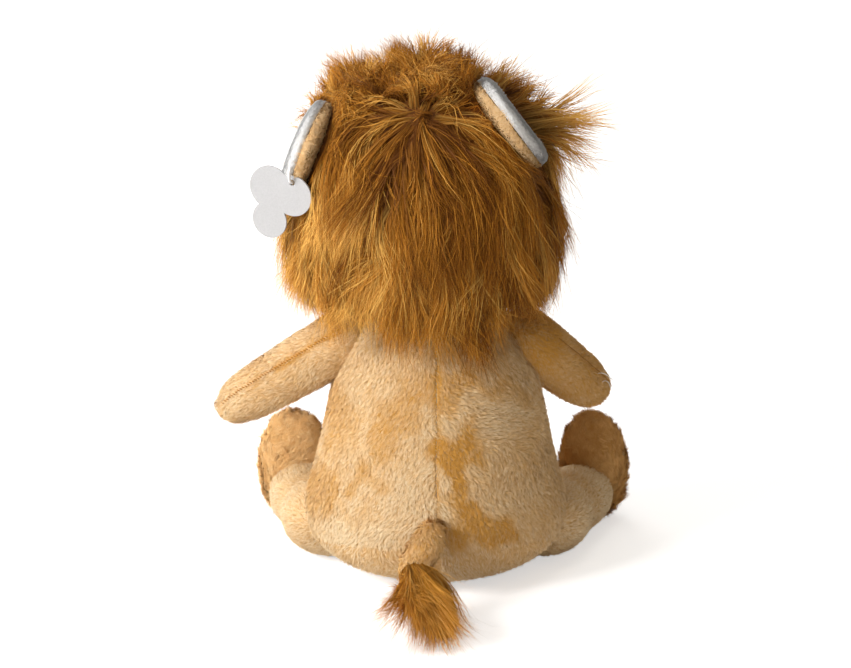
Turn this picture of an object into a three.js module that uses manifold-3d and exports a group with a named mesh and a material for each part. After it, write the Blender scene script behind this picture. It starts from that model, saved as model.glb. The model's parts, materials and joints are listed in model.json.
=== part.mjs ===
// A sitting plush lion: short tan plush on the body and limbs, a long shaggy mane, ears with a white lining,
// a tail with a tuft that lies on the floor, and a bare hang tag on its left ear.
// The lion faces -Y and sits on the plane z = 0. Its left side is at +X.
// Each skin is a shell of fabric and pile, cut along its seams, with its stuffing inside.
import * as THREE from "three";
import { mergeVertices } from "three/addons/utils/BufferGeometryUtils.js";
import Module from "manifold-3d";

const wasm = await Module();
wasm.setup();

// Driving dimensions in millimetres, angles in degrees
const GAP = 0.3; // between pieces that touch
const SOCKET_GAP = 0.3; // round the root of a limb, which turns in its socket
const FLOOR_CUT = 0.5; // depth of pile pressed flat by the floor
const OVERRUN = 80; // how far a cutting block runs past what it cuts
const BODY_SKIN = 4; // fabric and pile on the torso and head
const LIMB_SKIN = 3.5; // fabric and pile on the limbs

const TORSO = {
  width: 136,
  depth: 116,
  neckHeight: 148, // of the seam that carries the head
  overNeck: 18, // the closed top of the form, above the neck seam
  pelletHeight: 28, // top of the pellet bag in the seat
  seatSeamBack: 34, // height of the seat panel's seam under the tail
  seatSeamFront: 8, // and between the legs
};
const HEAD = {
  width: 114,
  depth: 108,
  height: 120, // crown above the neck seam
  underNeck: 16, // the closed bottom of the form, below the neck seam
  lean: 8.3, // towards the lion's left
  seamBehindMiddle: 2, // the seam over the crown from ear to ear
};
// How far their middles lie behind and before the face
const MUZZLE = { width: 54, depth: 44, height: 40, centreHeight: 38, sunk: 10 };
const NOSE = { width: 19, depth: 13, height: 13, aboveMuzzle: 11, proud: 8 };
const EYE = { radius: 6, dome: 4, sunk: 1.5, stemRadius: 2, stemLength: 13, spacing: 40, height: 64 };
const WASHER = { radius: 7, thickness: 1.6, behindSkin: 2 };
const EAR = {
  width: 56, // along its seam on the head
  height: 44, // from that seam to the rim
  thickness: 12,
  fromMiddle: 54,
  aboveNeck: 101,
  behindMiddle: 2,
  rootLength: 10, // sewn in below the head's surface
};
const MANE = {
  width: 150,
  depth: 134,
  height: 142, // top of the crown hair above the neck seam
  underNeck: 14, // the closed bottom of the form, below the neck seam
  ruffForward: 46,
  aboveArms: 6,
  offTorso: 1.5, // clearance to the torso as the head turns
};
const FACE_OPENING = { width: 86, height: 92, centreHeight: 54, depth: 24 };
const BACK_LOCK = { width: 54, offset: 8, drop: 26, thickness: 10 };
const ARM = { width: 37, length: 86, underNeck: 15, rootSink: 1, rootBehindMiddle: -2 };
const ARM_POSES = {
  left: { outward: 0.85, forward: 0, down: 0.53, swingBack: 30, swingForward: 60 },
  right: { outward: 0.52, forward: 0.59, down: 0.62, swingBack: 5, swingForward: 40 },
};
const LEG = { width: 48, length: 71, rootSink: 6.5, rootBehindMiddle: -16, splayMore: 30 };
const LEG_SPLAYS = { left: 20.5, right: 29 }; // from straight ahead, at rest
const FOOT = { width: 42, height: 65, thickness: 32, reach: 65 };
const SOLE = { width: 28, height: 45 };
const TAIL = {
  width: 15,
  thickness: 9,
  rootHeight: 48,
  rootSink: 6,
  reach: 19,
  drop: 15,
  sideways: 8,
  swing: 20,
};
const TUFT = { width: 44, thickness: 24, length: 70, slope: 27, turn: -7, overTube: 3 };
const TAG = { size: 35, thickness: 1.2, holeBelowTop: 4, turn: 25 };
const LOOP = { width: 7.5, height: 10, wire: 1.3 };

// Outlines as shares: height along the form, radius there
const TORSO_SHARES = [
  [0, 0], [0.01, 0.48], [0.05, 0.75], [0.13, 0.93], [0.25, 1], [0.4, 0.965],
  [0.55, 0.9], [0.7, 0.83], [0.82, 0.71], [0.91, 0.5], [0.97, 0.28], [1, 0],
];
const HEAD_SHARES = [
  [0, 0], [0.05, 0.36], [0.16, 0.68], [0.3, 0.91], [0.44, 1],
  [0.6, 0.975], [0.75, 0.86], [0.88, 0.63], [0.96, 0.36], [1, 0],
];
const MANE_SHARES = [
  [0, 0], [0.04, 0.56], [0.12, 0.86], [0.28, 0.98], [0.46, 1],
  [0.64, 0.985], [0.78, 0.89], [0.89, 0.69], [0.96, 0.42], [1, 0],
];
const TUFT_SHARES = [
  [0, 0], [0.04, 0.34], [0.14, 0.52], [0.3, 0.76], [0.48, 0.97], [0.62, 1], [0.76, 0.84],
  [0.88, 0.54], [0.96, 0.26], [1, 0],
];
const FOOT_SHARES = [
  [0, 0], [0.05, 0.55], [0.2, 0.88], [0.42, 1], [0.62, 0.97], [0.8, 0.8], [0.93, 0.5], [1, 0],
];
// The same along a limb, from its root ball to its tip
const ARM_SHARES = [[0.22, 0.98], [0.45, 0.93], [0.7, 0.87], [0.86, 0.73], [0.96, 0.42], [1, 0]];
const LEG_SHARES = [[0.3, 1], [0.6, 0.95], [0.82, 0.8], [0.95, 0.46], [1, 0]];
// The tail tube's middle line in shares of its sideways shift, reach and drop
const TAIL_PATH_SHARES = [[0, 0, 0], [0.08, 0.5, 0.02], [0.45, 0.88, 0.4], [0.9, 1.05, 1], [1.2, 1.45, 1.6]];
const EAR_OUT_SHARES = [0, 0.94, 0.342]; // outward, backward and up, from the ear's seam to its rim
const EAR_SEAM_SHARES = [0.47, 0, -0.883]; // outward, backward and up, along the ear's seam
// The loop's place on the ear's lining, of the ear's half width, half thickness and height
const LOOP_PLACE_SHARES = [-0.35, 0.35, 0.87];
const TAG_LOBE_SHARES = [[0, 0, 0.32], [0.37, -0.08, 0.34], [0.385, 0.43, 0.285]]; // across, down and radius
const PAD_SIDES = 14;
const BODY_SIDES = 20;
const LIMB_SIDES = 12;
const SMALL_SIDES = 10;
const SOCKET_REACH_SHARE = 0.7; // of a limb's length that its socket leaves room for
const ROOT_STEPS = 3; // rings in the quarter round of a limb's root

const radians = THREE.MathUtils.degToRad;

// Materials
const material = (name, color, roughness) =>
  new THREE.MeshStandardMaterial({ name, color, roughness, metalness: 0 });
const TAN = material("tan_plush", 0xdcb684, 0.95);
const FUZZY_TAN = material("fuzzy_tan_plush", 0xd2a468, 0.95);
const MANE_PILE = material("mane_pile", 0x9a6630, 0.95);
const TUFT_PILE = material("tuft_pile", 0xa16b2c, 0.95);
const WHITE = material("white_plush", 0xe6e4e0, 0.95);
const FILLING = material("filling", 0xf2f0ea, 0.95);
const PELLETS = material("pellets", 0xd8d8d8, 0.6);
const NOSE_FABRIC = material("nose_fabric", 0x3a2418, 0.8);
const EYE_PLASTIC = material("eye_plastic", 0x15100c, 0.1);
const CLEAR_PLASTIC = material("clear_plastic", 0xf0f0f0, 0.4);
const CARD = material("card", 0xe4e4e5, 0.7);

// A closed geometry as a solid that can be joined and cut
function solid(geometry) {
  const bare = geometry.clone();
  bare.deleteAttribute("normal");
  bare.deleteAttribute("uv");
  const merged = mergeVertices(bare);
  const corners = merged.index.array;
  const kept = [];
  for (let i = 0; i < corners.length; i += 3) {
    const [a, b, c] = corners.slice(i, i + 3);
    if (a !== b && b !== c && c !== a) kept.push(a, b, c);
  }
  return new wasm.Manifold(
    new wasm.Mesh({
      numProp: 3,
      vertProperties: new Float32Array(merged.attributes.position.array),
      triVerts: new Uint32Array(kept),
    }),
  );
}

function geometryOf(piece) {
  const mesh = piece.getMesh();
  const geometry = new THREE.BufferGeometry();
  geometry.setAttribute("position", new THREE.BufferAttribute(mesh.vertProperties, 3));
  geometry.setIndex(new THREE.BufferAttribute(mesh.triVerts, 1));
  return geometry;
}

function piece(group, name, material, made) {
  const geometry = geometryOf(made).toNonIndexed();
  geometry.computeVertexNormals();
  const mesh = new THREE.Mesh(geometry, material);
  mesh.name = name;
  group.add(mesh);
  return mesh;
}

// A block between two corners
function block(low, high) {
  const size = high.map((value, axis) => value - low[axis]);
  const middle = high.map((value, axis) => (value + low[axis]) / 2);
  return new THREE.BoxGeometry(...size).translate(...middle);
}

// A shape turned round +Z from the points of its outline, bottom first
function turned(points, sides) {
  return new THREE.LatheGeometry(points, sides).rotateX(radians(90));
}

// The share of the full radius at a share of the height
function shareAt(shares, height) {
  const above = shares.findIndex(([at]) => at >= height);
  const [high, highRadius] = shares[above];
  if (above === 0) return highRadius;
  const [low, lowRadius] = shares[above - 1];
  return lowRadius + ((highRadius - lowRadius) * (height - low)) / (high - low);
}

// A form that swells and tapers from pole to pole, drawn in by an inset or grown by a negative one
function swell({ width, depth, length, shares, sides }, inset = 0) {
  const unit = turned(shares.map(([height, radius]) => new THREE.Vector2(radius, height)), sides);
  unit.scale(width / 2 - inset, depth / 2 - inset, length - 2 * inset);
  return unit.translate(0, 0, inset);
}

// A limb along +Z from a round root about the origin
function limb({ width, length, shares }, inset = 0) {
  const radius = width / 2 - inset;
  const points = [];
  for (let step = 0; step <= ROOT_STEPS; step++) {
    const angle = radians((90 * step) / ROOT_STEPS);
    points.push(new THREE.Vector2(radius * Math.sin(angle), -radius * Math.cos(angle)));
  }
  for (const [at, share] of shares) points.push(new THREE.Vector2(radius * share, (length - inset) * at));
  return turned(points, LIMB_SIDES);
}

function ellipsoid({ width, depth, height }, inset = 0) {
  const unit = new THREE.SphereGeometry(1, PAD_SIDES, PAD_SIDES / 2);
  return unit.scale(width / 2 - inset, depth / 2 - inset, height / 2 - inset);
}

// The forms of the torso, head and mane, in the frame of the group that carries them
const torsoSize = {
  ...TORSO,
  length: TORSO.neckHeight + TORSO.overNeck,
  shares: TORSO_SHARES,
  sides: BODY_SIDES,
};
const torsoForm = (inset) => swell(torsoSize, inset).translate(0, 0, -FLOOR_CUT);
const torsoHalfWidth = (height) =>
  (TORSO.width / 2) * shareAt(TORSO_SHARES, (height + FLOOR_CUT) / torsoSize.length);
const torsoBack = (height) => (torsoHalfWidth(height) * TORSO.depth) / TORSO.width;

const headSize = { ...HEAD, length: HEAD.height + HEAD.underNeck, shares: HEAD_SHARES, sides: BODY_SIDES };
const leaned = (geometry) => geometry.rotateY(radians(HEAD.lean));
const headForm = (inset) => leaned(swell(headSize, inset).translate(0, 0, -HEAD.underNeck));

const maneSize = { ...MANE, length: MANE.height + MANE.underNeck, shares: MANE_SHARES, sides: BODY_SIDES };
const maneForm = () => leaned(swell(maneSize).translate(0, 0, -MANE.underNeck));

// Groups that move: each stands at the point that it turns about
const lion = new THREE.Group();
const at = (name, x, y, z) => {
  const group = new THREE.Group();
  group.name = name;
  group.position.set(x, y, z);
  lion.add(group);
  return group;
};

const headGroup = at("head", 0, 0, TORSO.neckHeight);

const shoulderHeight = TORSO.neckHeight - ARM.underNeck;
const armSize = { ...ARM, shares: ARM_SHARES };
function armGroup(side, name) {
  const pose = ARM_POSES[name];
  const group = at(
    name + "_arm",
    side * (torsoHalfWidth(shoulderHeight) - ARM.rootSink),
    ARM.rootBehindMiddle,
    shoulderHeight,
  );
  const along = new THREE.Vector3(side * pose.outward, -pose.forward, -pose.down).normalize();
  group.quaternion.setFromUnitVectors(new THREE.Vector3(0, 0, 1), along);
  return group;
}

const hipHeight = LEG.width / 2 - FLOOR_CUT;
const legSize = { ...LEG, shares: LEG_SHARES };
function legGroup(side, name) {
  const group = at(
    name + "_leg",
    side * (torsoHalfWidth(hipHeight) - LEG.rootSink),
    LEG.rootBehindMiddle,
    hipHeight,
  );
  group.rotation.z = radians(side * LEG_SPLAYS[name]);
  return group;
}
const legForm = (inset) => limb(legSize, inset).rotateX(radians(90));
const footSize = {
  width: FOOT.width,
  depth: FOOT.thickness,
  length: FOOT.height,
  shares: FOOT_SHARES,
  sides: LIMB_SIDES,
};
const footForm = (inset) => swell(footSize, inset).translate(0, -FOOT.reach, -FLOOR_CUT - hipHeight);

const tailGroup = at("tail", 0, torsoBack(TAIL.rootHeight) - TAIL.rootSink, TAIL.rootHeight);
const tailRoot = () => new THREE.SphereGeometry(TAIL.width / 2, LIMB_SIDES, LIMB_SIDES / 2);

// The room that a limb's root and its first stretch need, from one end of its range to the other
function socket(group, size, along, axis, from, to, steps) {
  const flatShare = Math.cos(radians(180 / LIMB_SIDES)); // of the radius, at the middle of a facet
  const radius = (size.width / 2 + SOCKET_GAP) / flatShare;
  const reach = size.length * SOCKET_REACH_SHARE;
  const centre = group.position;
  const ball = new THREE.SphereGeometry(radius / flatShare, LIMB_SIDES, LIMB_SIDES / 2);
  let room = solid(ball.translate(centre.x, centre.y, centre.z));
  for (let step = 0; step <= steps; step++) {
    const angle = radians(from + ((to - from) * step) / steps);
    const turn = new THREE.Quaternion()
      .setFromAxisAngle(axis, angle)
      .multiply(group.quaternion)
      .multiply(new THREE.Quaternion().setFromUnitVectors(Y_AXIS, along));
    const stretch = new THREE.CylinderGeometry(radius, radius, reach, LIMB_SIDES);
    stretch.translate(0, reach / 2, 0).applyQuaternion(turn).translate(centre.x, centre.y, centre.z);
    room = room.add(solid(stretch));
  }
  return room;
}

const X_AXIS = new THREE.Vector3(1, 0, 0);
const Y_AXIS = new THREE.Vector3(0, 1, 0);
const Z_AXIS = new THREE.Vector3(0, 0, 1);
const SIDES = { left: 1, right: -1 };
const ARM_STEPS = 3;
const LEG_STEPS = 2;
const TAIL_STEPS = 2;
const arms = {};
const legs = {};
const sockets = [];
for (const [name, side] of Object.entries(SIDES)) {
  const pose = ARM_POSES[name];
  arms[name] = armGroup(side, name);
  sockets.push(socket(arms[name], ARM, Z_AXIS, X_AXIS, -pose.swingForward, pose.swingBack, ARM_STEPS));
  legs[name] = legGroup(side, name);
  const ahead = Y_AXIS.clone().negate();
  sockets.push(socket(legs[name], LEG, ahead, Z_AXIS, 0, side * LEG.splayMore, LEG_STEPS));
}
const tailSize = { width: TAIL.width, length: TAIL.reach };
sockets.push(socket(tailGroup, tailSize, Y_AXIS, Z_AXIS, -TAIL.swing, TAIL.swing, TAIL_STEPS));
const allSockets = sockets.reduce((joined, next) => joined.add(next));

// Torso: three panels above the seat panel, the stuffing and the pellet bag
function makeTorso() {
  const reach = TORSO.width / 2 + OVERRUN;
  const neck = TORSO.neckHeight - GAP / 2;
  const span = solid(block([-reach, -reach, 0], [reach, reach, neck]));
  const slope = Math.atan2(TORSO.seatSeamBack - TORSO.seatSeamFront, TORSO.depth);
  const seamHeight = (TORSO.seatSeamBack + TORSO.seatSeamFront) / 2;
  const underSeam = (shift) => {
    const under = block([-reach, -reach, -reach], [reach, reach, shift]);
    return solid(under.rotateX(slope).translate(0, 0, seamHeight));
  };
  const wall = solid(torsoForm(0)).subtract(solid(torsoForm(BODY_SKIN)));
  const shell = wall.intersect(span).subtract(allSockets);
  const upper = shell.subtract(underSeam(GAP / 2));
  const front = solid(block([-reach, -reach, -OVERRUN], [reach, -GAP / 2, reach + neck]));
  const behind = (side) => {
    const inner = side * (GAP / 2);
    const outer = side * reach;
    return solid(
      block([Math.min(inner, outer), GAP / 2, -OVERRUN], [Math.max(inner, outer), reach, reach + neck]),
    );
  };
  piece(lion, "belly_panel", TAN, upper.intersect(front));
  piece(lion, "back_panel_left", TAN, upper.intersect(behind(SIDES.left)));
  piece(lion, "back_panel_right", TAN, upper.intersect(behind(SIDES.right)));
  piece(lion, "seat_panel", TAN, shell.intersect(underSeam(-GAP / 2)));

  const inside = solid(torsoForm(BODY_SKIN + GAP)).intersect(span).subtract(allSockets);
  const layer = (low, high) => solid(block([-reach, -reach, low], [reach, reach, high]));
  piece(lion, "torso_stuffing", FILLING, inside.intersect(layer(TORSO.pelletHeight + GAP, neck + OVERRUN)));
  piece(lion, "pellet_bag", PELLETS, inside.intersect(layer(-OVERRUN, TORSO.pelletHeight)));
}

// Ears: a padded flap whose seam lies on the head, with its lining on the outer side
function earFrame(side) {
  const [outward, backward, up] = EAR_OUT_SHARES;
  const [seamOutward, seamBackward, seamUp] = EAR_SEAM_SHARES;
  const out = new THREE.Vector3(side * outward, backward, up).normalize();
  const seam = new THREE.Vector3(side * seamOutward, seamBackward, seamUp);
  const lining = new THREE.Vector3().crossVectors(seam, out).multiplyScalar(side).normalize();
  const across = new THREE.Vector3().crossVectors(lining, out);
  const frame = new THREE.Matrix4().makeBasis(across, lining, out);
  return frame.setPosition(side * EAR.fromMiddle, EAR.behindMiddle, EAR.aboveNeck);
}

function earForm(side, inset) {
  const size = { width: EAR.width, depth: EAR.thickness, height: 2 * EAR.height };
  const reach = EAR.width / 2 + OVERRUN;
  const flap = solid(ellipsoid(size, inset)).intersect(
    solid(block([-reach, -reach, -EAR.rootLength + inset], [reach, reach, EAR.height + OVERRUN])),
  );
  return solid(leaned(geometryOf(flap).applyMatrix4(earFrame(side))));
}

// One side of an ear's middle layer, lining or back
function earHalf(side, facing) {
  const reach = EAR.width + OVERRUN;
  const [inner, outer] = [(facing * GAP) / 2, facing * reach];
  const half = block([-reach, Math.min(inner, outer), -reach], [reach, Math.max(inner, outer), reach]);
  return solid(leaned(half.applyMatrix4(earFrame(side))));
}

// The loop hangs from the left ear's lining near its rim
const loopTop = new THREE.Vector3(
  (LOOP_PLACE_SHARES[0] * EAR.width) / 2,
  (LOOP_PLACE_SHARES[1] * EAR.thickness) / 2,
  LOOP_PLACE_SHARES[2] * EAR.height,
)
  .applyMatrix4(earFrame(SIDES.left))
  .applyAxisAngle(new THREE.Vector3(0, 1, 0), radians(HEAD.lean));
const loopCentre = loopTop.clone().setZ(loopTop.z - LOOP.height / 2);
const tagGroup = at(
  "tag",
  loopCentre.x,
  loopCentre.y,
  TORSO.neckHeight + loopCentre.z - LOOP.height / 2,
);
tagGroup.rotation.z = radians(-TAG.turn);
const LOOP_SIDES = 6;
const LOOP_STEPS = 14;

// A round ring drawn out to the loop's height is as much thicker at its lowest point
const loopThickness = (LOOP.wire * LOOP.height) / LOOP.width;

function loopForm(extra) {
  const ring = new THREE.TorusGeometry(LOOP.width / 2, LOOP.wire / 2 + extra, LOOP_SIDES, LOOP_STEPS);
  const [middle, rise] = [LOOP.width / 2, LOOP.height / 2];
  ring.rotateY(radians(90)).scale(1, 1, rise / middle).rotateZ(radians(-TAG.turn));
  return solid(ring.translate(loopCentre.x, loopCentre.y, loopCentre.z));
}

// The card's lobes, from the middle of its highest one
const tagLobes = TAG_LOBE_SHARES.map((shares) => {
  const [across, down, radius] = shares.map((share) => share * TAG.size);
  return { across, down, radius };
});

// The space that the card passes through as it swings
function tagRoom() {
  const reach = Math.max(...tagLobes.map((lobe) => Math.hypot(lobe.across, lobe.down) + lobe.radius * 2));
  const room = new THREE.CylinderGeometry(reach, reach, TAG.thickness + LOOP.width, BODY_SIDES);
  const centre = tagGroup.position;
  return solid(
    room.rotateZ(radians(-TAG.turn)).translate(centre.x, centre.y, centre.z - TORSO.neckHeight),
  );
}

// An eye along +Z: a dome, its flat back and its stem
function eyeForm(extra) {
  const dome = [];
  const radius = EYE.radius + extra;
  for (let step = 0; step <= ROOT_STEPS; step++) {
    const angle = radians((90 * step) / ROOT_STEPS);
    dome.push(new THREE.Vector2(radius * Math.cos(angle), (EYE.dome + extra) * Math.sin(angle)));
  }
  const stem = EYE.stemRadius + extra;
  const points = [
    new THREE.Vector2(0, -EYE.stemLength - extra),
    new THREE.Vector2(stem, -EYE.stemLength - extra),
    new THREE.Vector2(stem, -extra),
    new THREE.Vector2(radius, -extra),
    ...dome,
  ];
  points[points.length - 1].x = 0;
  return turned(points, LIMB_SIDES);
}

function washerForm(extra) {
  const top = -EYE.sunk - WASHER.behindSkin + extra;
  const bottom = top - WASHER.thickness - 2 * extra;
  const hole = EYE.stemRadius + GAP - extra;
  const outer = WASHER.radius + extra;
  const ring = [[hole, bottom], [outer, bottom], [outer, top], [hole, top], [hole, bottom]];
  return turned(ring.map(([x, y]) => new THREE.Vector2(x, y - BODY_SKIN)), LIMB_SIDES);
}

// From a form along +Z at the origin to its place on the face
function onFace(side, geometry) {
  const share = shareAt(HEAD_SHARES, (EYE.height + HEAD.underNeck) / headSize.length);
  const [halfWidth, halfDepth] = [(HEAD.width / 2) * share, (HEAD.depth / 2) * share];
  const x = (side * EYE.spacing) / 2;
  const y = -halfDepth * Math.sqrt(1 - (x / halfWidth) ** 2);
  const outward = new THREE.Vector3(x / halfWidth ** 2, y / halfDepth ** 2, 0).normalize();
  const turn = new THREE.Quaternion().setFromUnitVectors(Z_AXIS, outward);
  const place = new THREE.Vector3(x, y, EYE.height).addScaledVector(outward, -EYE.sunk);
  return solid(leaned(geometry.applyQuaternion(turn).translate(place.x, place.y, place.z)));
}

function makeHead() {
  const reach = MANE.width + OVERRUN;
  const neck = GAP / 2;
  const aboveNeck = solid(block([-reach, -reach, neck], [reach, reach, reach + HEAD.height]));
  const seam = HEAD.seamBehindMiddle;
  const before = solid(block([-reach, -reach, -reach], [reach, seam - GAP / 2, reach + HEAD.height]));
  const behind = solid(block([-reach, seam + GAP / 2, -reach], [reach, reach, reach + HEAD.height]));
  const wholeHead = solid(headForm(0)).intersect(aboveNeck);
  const grownHead = solid(headForm(-GAP));
  const shell = wholeHead.subtract(solid(headForm(BODY_SKIN)));
  let face = shell.intersect(before);
  let stuffing = solid(headForm(BODY_SKIN + GAP)).intersect(aboveNeck);
  for (const [name, side] of Object.entries(SIDES)) {
    piece(headGroup, name + "_eye", EYE_PLASTIC, onFace(side, eyeForm(0)));
    piece(headGroup, name + "_eye_washer", CLEAR_PLASTIC, onFace(side, washerForm(0)));
    const room = onFace(side, eyeForm(GAP));
    face = face.subtract(room).subtract(onFace(side, washerForm(GAP)));
    stuffing = stuffing.subtract(room).subtract(onFace(side, washerForm(GAP)));
  }
  piece(headGroup, "face_panel", TAN, face);
  piece(headGroup, "head_back_panel", MANE_PILE, shell.intersect(behind));
  piece(headGroup, "head_stuffing", FILLING, stuffing);

  const muzzle = (inset) =>
    solid(leaned(ellipsoid(MUZZLE, inset).translate(0, MUZZLE.sunk - HEAD.depth / 2, MUZZLE.centreHeight)));
  piece(headGroup, "muzzle", WHITE, muzzle(0).subtract(grownHead));
  const nose = leaned(
    ellipsoid(NOSE).translate(0, -NOSE.proud - HEAD.depth / 2, MUZZLE.centreHeight + NOSE.aboveMuzzle),
  );
  piece(headGroup, "nose", NOSE_FABRIC, solid(nose).subtract(muzzle(-GAP)).subtract(grownHead));

  const loop = loopForm(GAP);
  const ears = [];
  for (const [name, side] of Object.entries(SIDES)) {
    const ear = earForm(side, 0).subtract(grownHead).subtract(loop);
    piece(headGroup, name + "_ear_lining", WHITE, ear.intersect(earHalf(side, 1)));
    piece(headGroup, name + "_ear_back", TAN, ear.intersect(earHalf(side, -1)));
    ears.push(earForm(side, -GAP));
  }
  piece(headGroup, "tag_loop", CLEAR_PLASTIC, loopForm(0));

  const round = { ...torsoSize, depth: TORSO.width };
  const torsoRoom = swell(round, -MANE.offTorso).translate(0, 0, -FLOOR_CUT - TORSO.neckHeight);
  const kept = [grownHead, solid(torsoRoom), loop, tagRoom(), ...ears];
  const clear = (hair) => kept.reduce((left, room) => left.subtract(room), hair);
  const hem = ARM.width / 2 - ARM.underNeck + MANE.aboveArms;
  const overArms = solid(block([-reach, -reach, hem], [reach, reach, reach + MANE.height]));
  const pile = solid(maneForm()).intersect(overArms);

  const opening = new THREE.CylinderGeometry(1, 1, reach, BODY_SIDES);
  opening.scale(FACE_OPENING.width / 2, 1, FACE_OPENING.height / 2);
  opening.translate(0, -reach / 2 - FACE_OPENING.depth, FACE_OPENING.centreHeight);
  const ruffSpan = solid(block([-reach, -MANE.ruffForward, -reach], [reach, seam - GAP / 2, reach]));
  const ruff = pile.intersect(ruffSpan).subtract(solid(leaned(opening)));
  piece(headGroup, "mane_ruff", MANE_PILE, clear(ruff));

  const lockInside = torsoHalfWidth(TORSO.neckHeight - BACK_LOCK.drop) + MANE.offTorso;
  const lockRadius = lockInside + BACK_LOCK.thickness;
  const tongue = new THREE.CylinderGeometry(1, 1, reach, LIMB_SIDES);
  tongue.scale(BACK_LOCK.width / 2, 1, hem + BACK_LOCK.drop).translate(-BACK_LOCK.offset, 0, hem);
  const collar = new THREE.CylinderGeometry(lockRadius, lockRadius, reach, BODY_SIDES).rotateX(radians(90));
  const lockSpan = solid(block([-reach, seam + GAP / 2, -reach], [reach, reach, hem + MANE.aboveArms]));
  const lock = solid(tongue).intersect(solid(collar)).intersect(lockSpan);
  piece(headGroup, "mane_back", MANE_PILE, clear(pile.intersect(behind).add(lock)));
}

// Arms: a skin and its stuffing, open at the shoulder
function makeArm(name) {
  const reach = ARM.width / 2 + OVERRUN;
  const rootCut = ARM.width / 2 - LIMB_SKIN - BODY_SKIN;
  const beyondRoot = solid(block([-reach, -reach, -rootCut], [reach, reach, ARM.length + OVERRUN]));
  const whole = solid(limb(armSize)).intersect(beyondRoot);
  piece(arms[name], name + "_arm_skin", TAN, whole.subtract(solid(limb(armSize, LIMB_SKIN))));
  piece(
    arms[name],
    name + "_arm_stuffing",
    FILLING,
    solid(limb(armSize, LIMB_SKIN + GAP)).intersect(beyondRoot),
  );
}

// Legs: a leg skin closed at the hip and open at the ankle, an upright foot, its sole and their stuffing
function makeLeg(name) {
  const reach = LEG.length + OVERRUN;
  const span = solid(block([-reach, -reach, -hipHeight], [reach, reach, reach]));
  const inner = solid(legForm(LIMB_SKIN));
  const skin = solid(legForm(0)).intersect(span).subtract(inner).subtract(solid(footForm(-GAP)));
  piece(legs[name], name + "_leg_skin", TAN, skin);
  const foot = solid(footForm(0)).intersect(span).subtract(solid(footForm(LIMB_SKIN))).subtract(inner);
  const patch = (extra) => {
    const oval = new THREE.CylinderGeometry(1, 1, reach, LIMB_SIDES);
    oval.scale(SOLE.width / 2 + extra, 1, SOLE.height / 2 + extra);
    return solid(oval.translate(0, -FOOT.reach - reach / 2, FOOT.height / 2 - FLOOR_CUT - hipHeight));
  };
  piece(legs[name], name + "_foot_skin", FUZZY_TAN, foot.subtract(patch(GAP)));
  piece(legs[name], name + "_foot_sole", WHITE, foot.intersect(patch(0)));
  const filling = solid(legForm(LIMB_SKIN + GAP)).add(solid(footForm(LIMB_SKIN + GAP)));
  piece(legs[name], name + "_leg_stuffing", FILLING, filling.intersect(span));
}

// Tail: a flattened tube from its round root to the tuft on the floor
function makeTail() {
  const path = new THREE.CatmullRomCurve3(
    TAIL_PATH_SHARES.map(
      ([side, out, down]) => new THREE.Vector3(side * TAIL.sideways, out * TAIL.reach, -down * TAIL.drop),
    ),
  );
  const tube = (extra) => {
    const section = new THREE.Shape();
    section.absellipse(0, 0, TAIL.thickness / 2 + extra, TAIL.width / 2 + extra, 0, radians(360));
    const steps = LIMB_SIDES / 2;
    const options = { steps, curveSegments: steps / 2, extrudePath: path };
    return solid(new THREE.ExtrudeGeometry(section, options));
  };
  piece(tailGroup, "tail_tube", TAN, tube(0).add(solid(tailRoot())));
  const tuftSize = { ...TUFT, depth: TUFT.thickness, shares: TUFT_SHARES, sides: LIMB_SIDES };
  const start = path.getPointAt(1 - TUFT.overTube / TAIL.drop);
  const tuft = swell(tuftSize).rotateX(radians(-90 - TUFT.slope)).rotateZ(radians(-TUFT.turn));
  tuft.computeBoundingBox();
  const down = -TAIL.rootHeight - FLOOR_CUT - tuft.boundingBox.min.z;
  tuft.translate(start.x, start.y - TUFT.thickness / 2, down);
  const reach = TUFT.length + OVERRUN;
  const overFloor = solid(block([-reach, -reach, -TAIL.rootHeight], [reach, reach * 2, reach]));
  const torso = solid(torsoForm(-SOCKET_GAP).translate(0, -tailGroup.position.y, -TAIL.rootHeight));
  const pile = solid(tuft).intersect(overFloor).subtract(tube(GAP)).subtract(torso);
  piece(tailGroup, "tail_tuft", TUFT_PILE, pile);
}

// Hang tag: a bare card of three round lobes, with the hole that its loop passes through
function makeTag() {
  const disc = (radius, across, down) =>
    solid(
      new THREE.CylinderGeometry(radius, radius, TAG.thickness, BODY_SIDES).translate(across, 0, -down),
    );
  const top = tagLobes[0].radius - TAG.holeBelowTop;
  const discs = tagLobes.map((lobe) => disc(lobe.radius, lobe.across, lobe.down + top));
  const card = discs.reduce((joined, next) => joined.add(next));
  const radius = loopThickness / 2 + 2 * GAP;
  const hole = new THREE.CylinderGeometry(radius, radius, TAG.thickness + OVERRUN, SMALL_SIDES);
  piece(tagGroup, "tag_card", CARD, card.subtract(solid(hole)));
}

makeTorso();
makeHead();
makeArm("left");
makeArm("right");
makeLeg("left");
makeLeg("right");
makeTail();
makeTag();

export default lion;
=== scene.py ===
# %% Load the frame
import json
import math

import bmesh
import bpy
import numpy as np
from mathutils import Matrix, Vector
from mathutils.bvhtree import BVHTree
from mathutils.kdtree import KDTree


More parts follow.
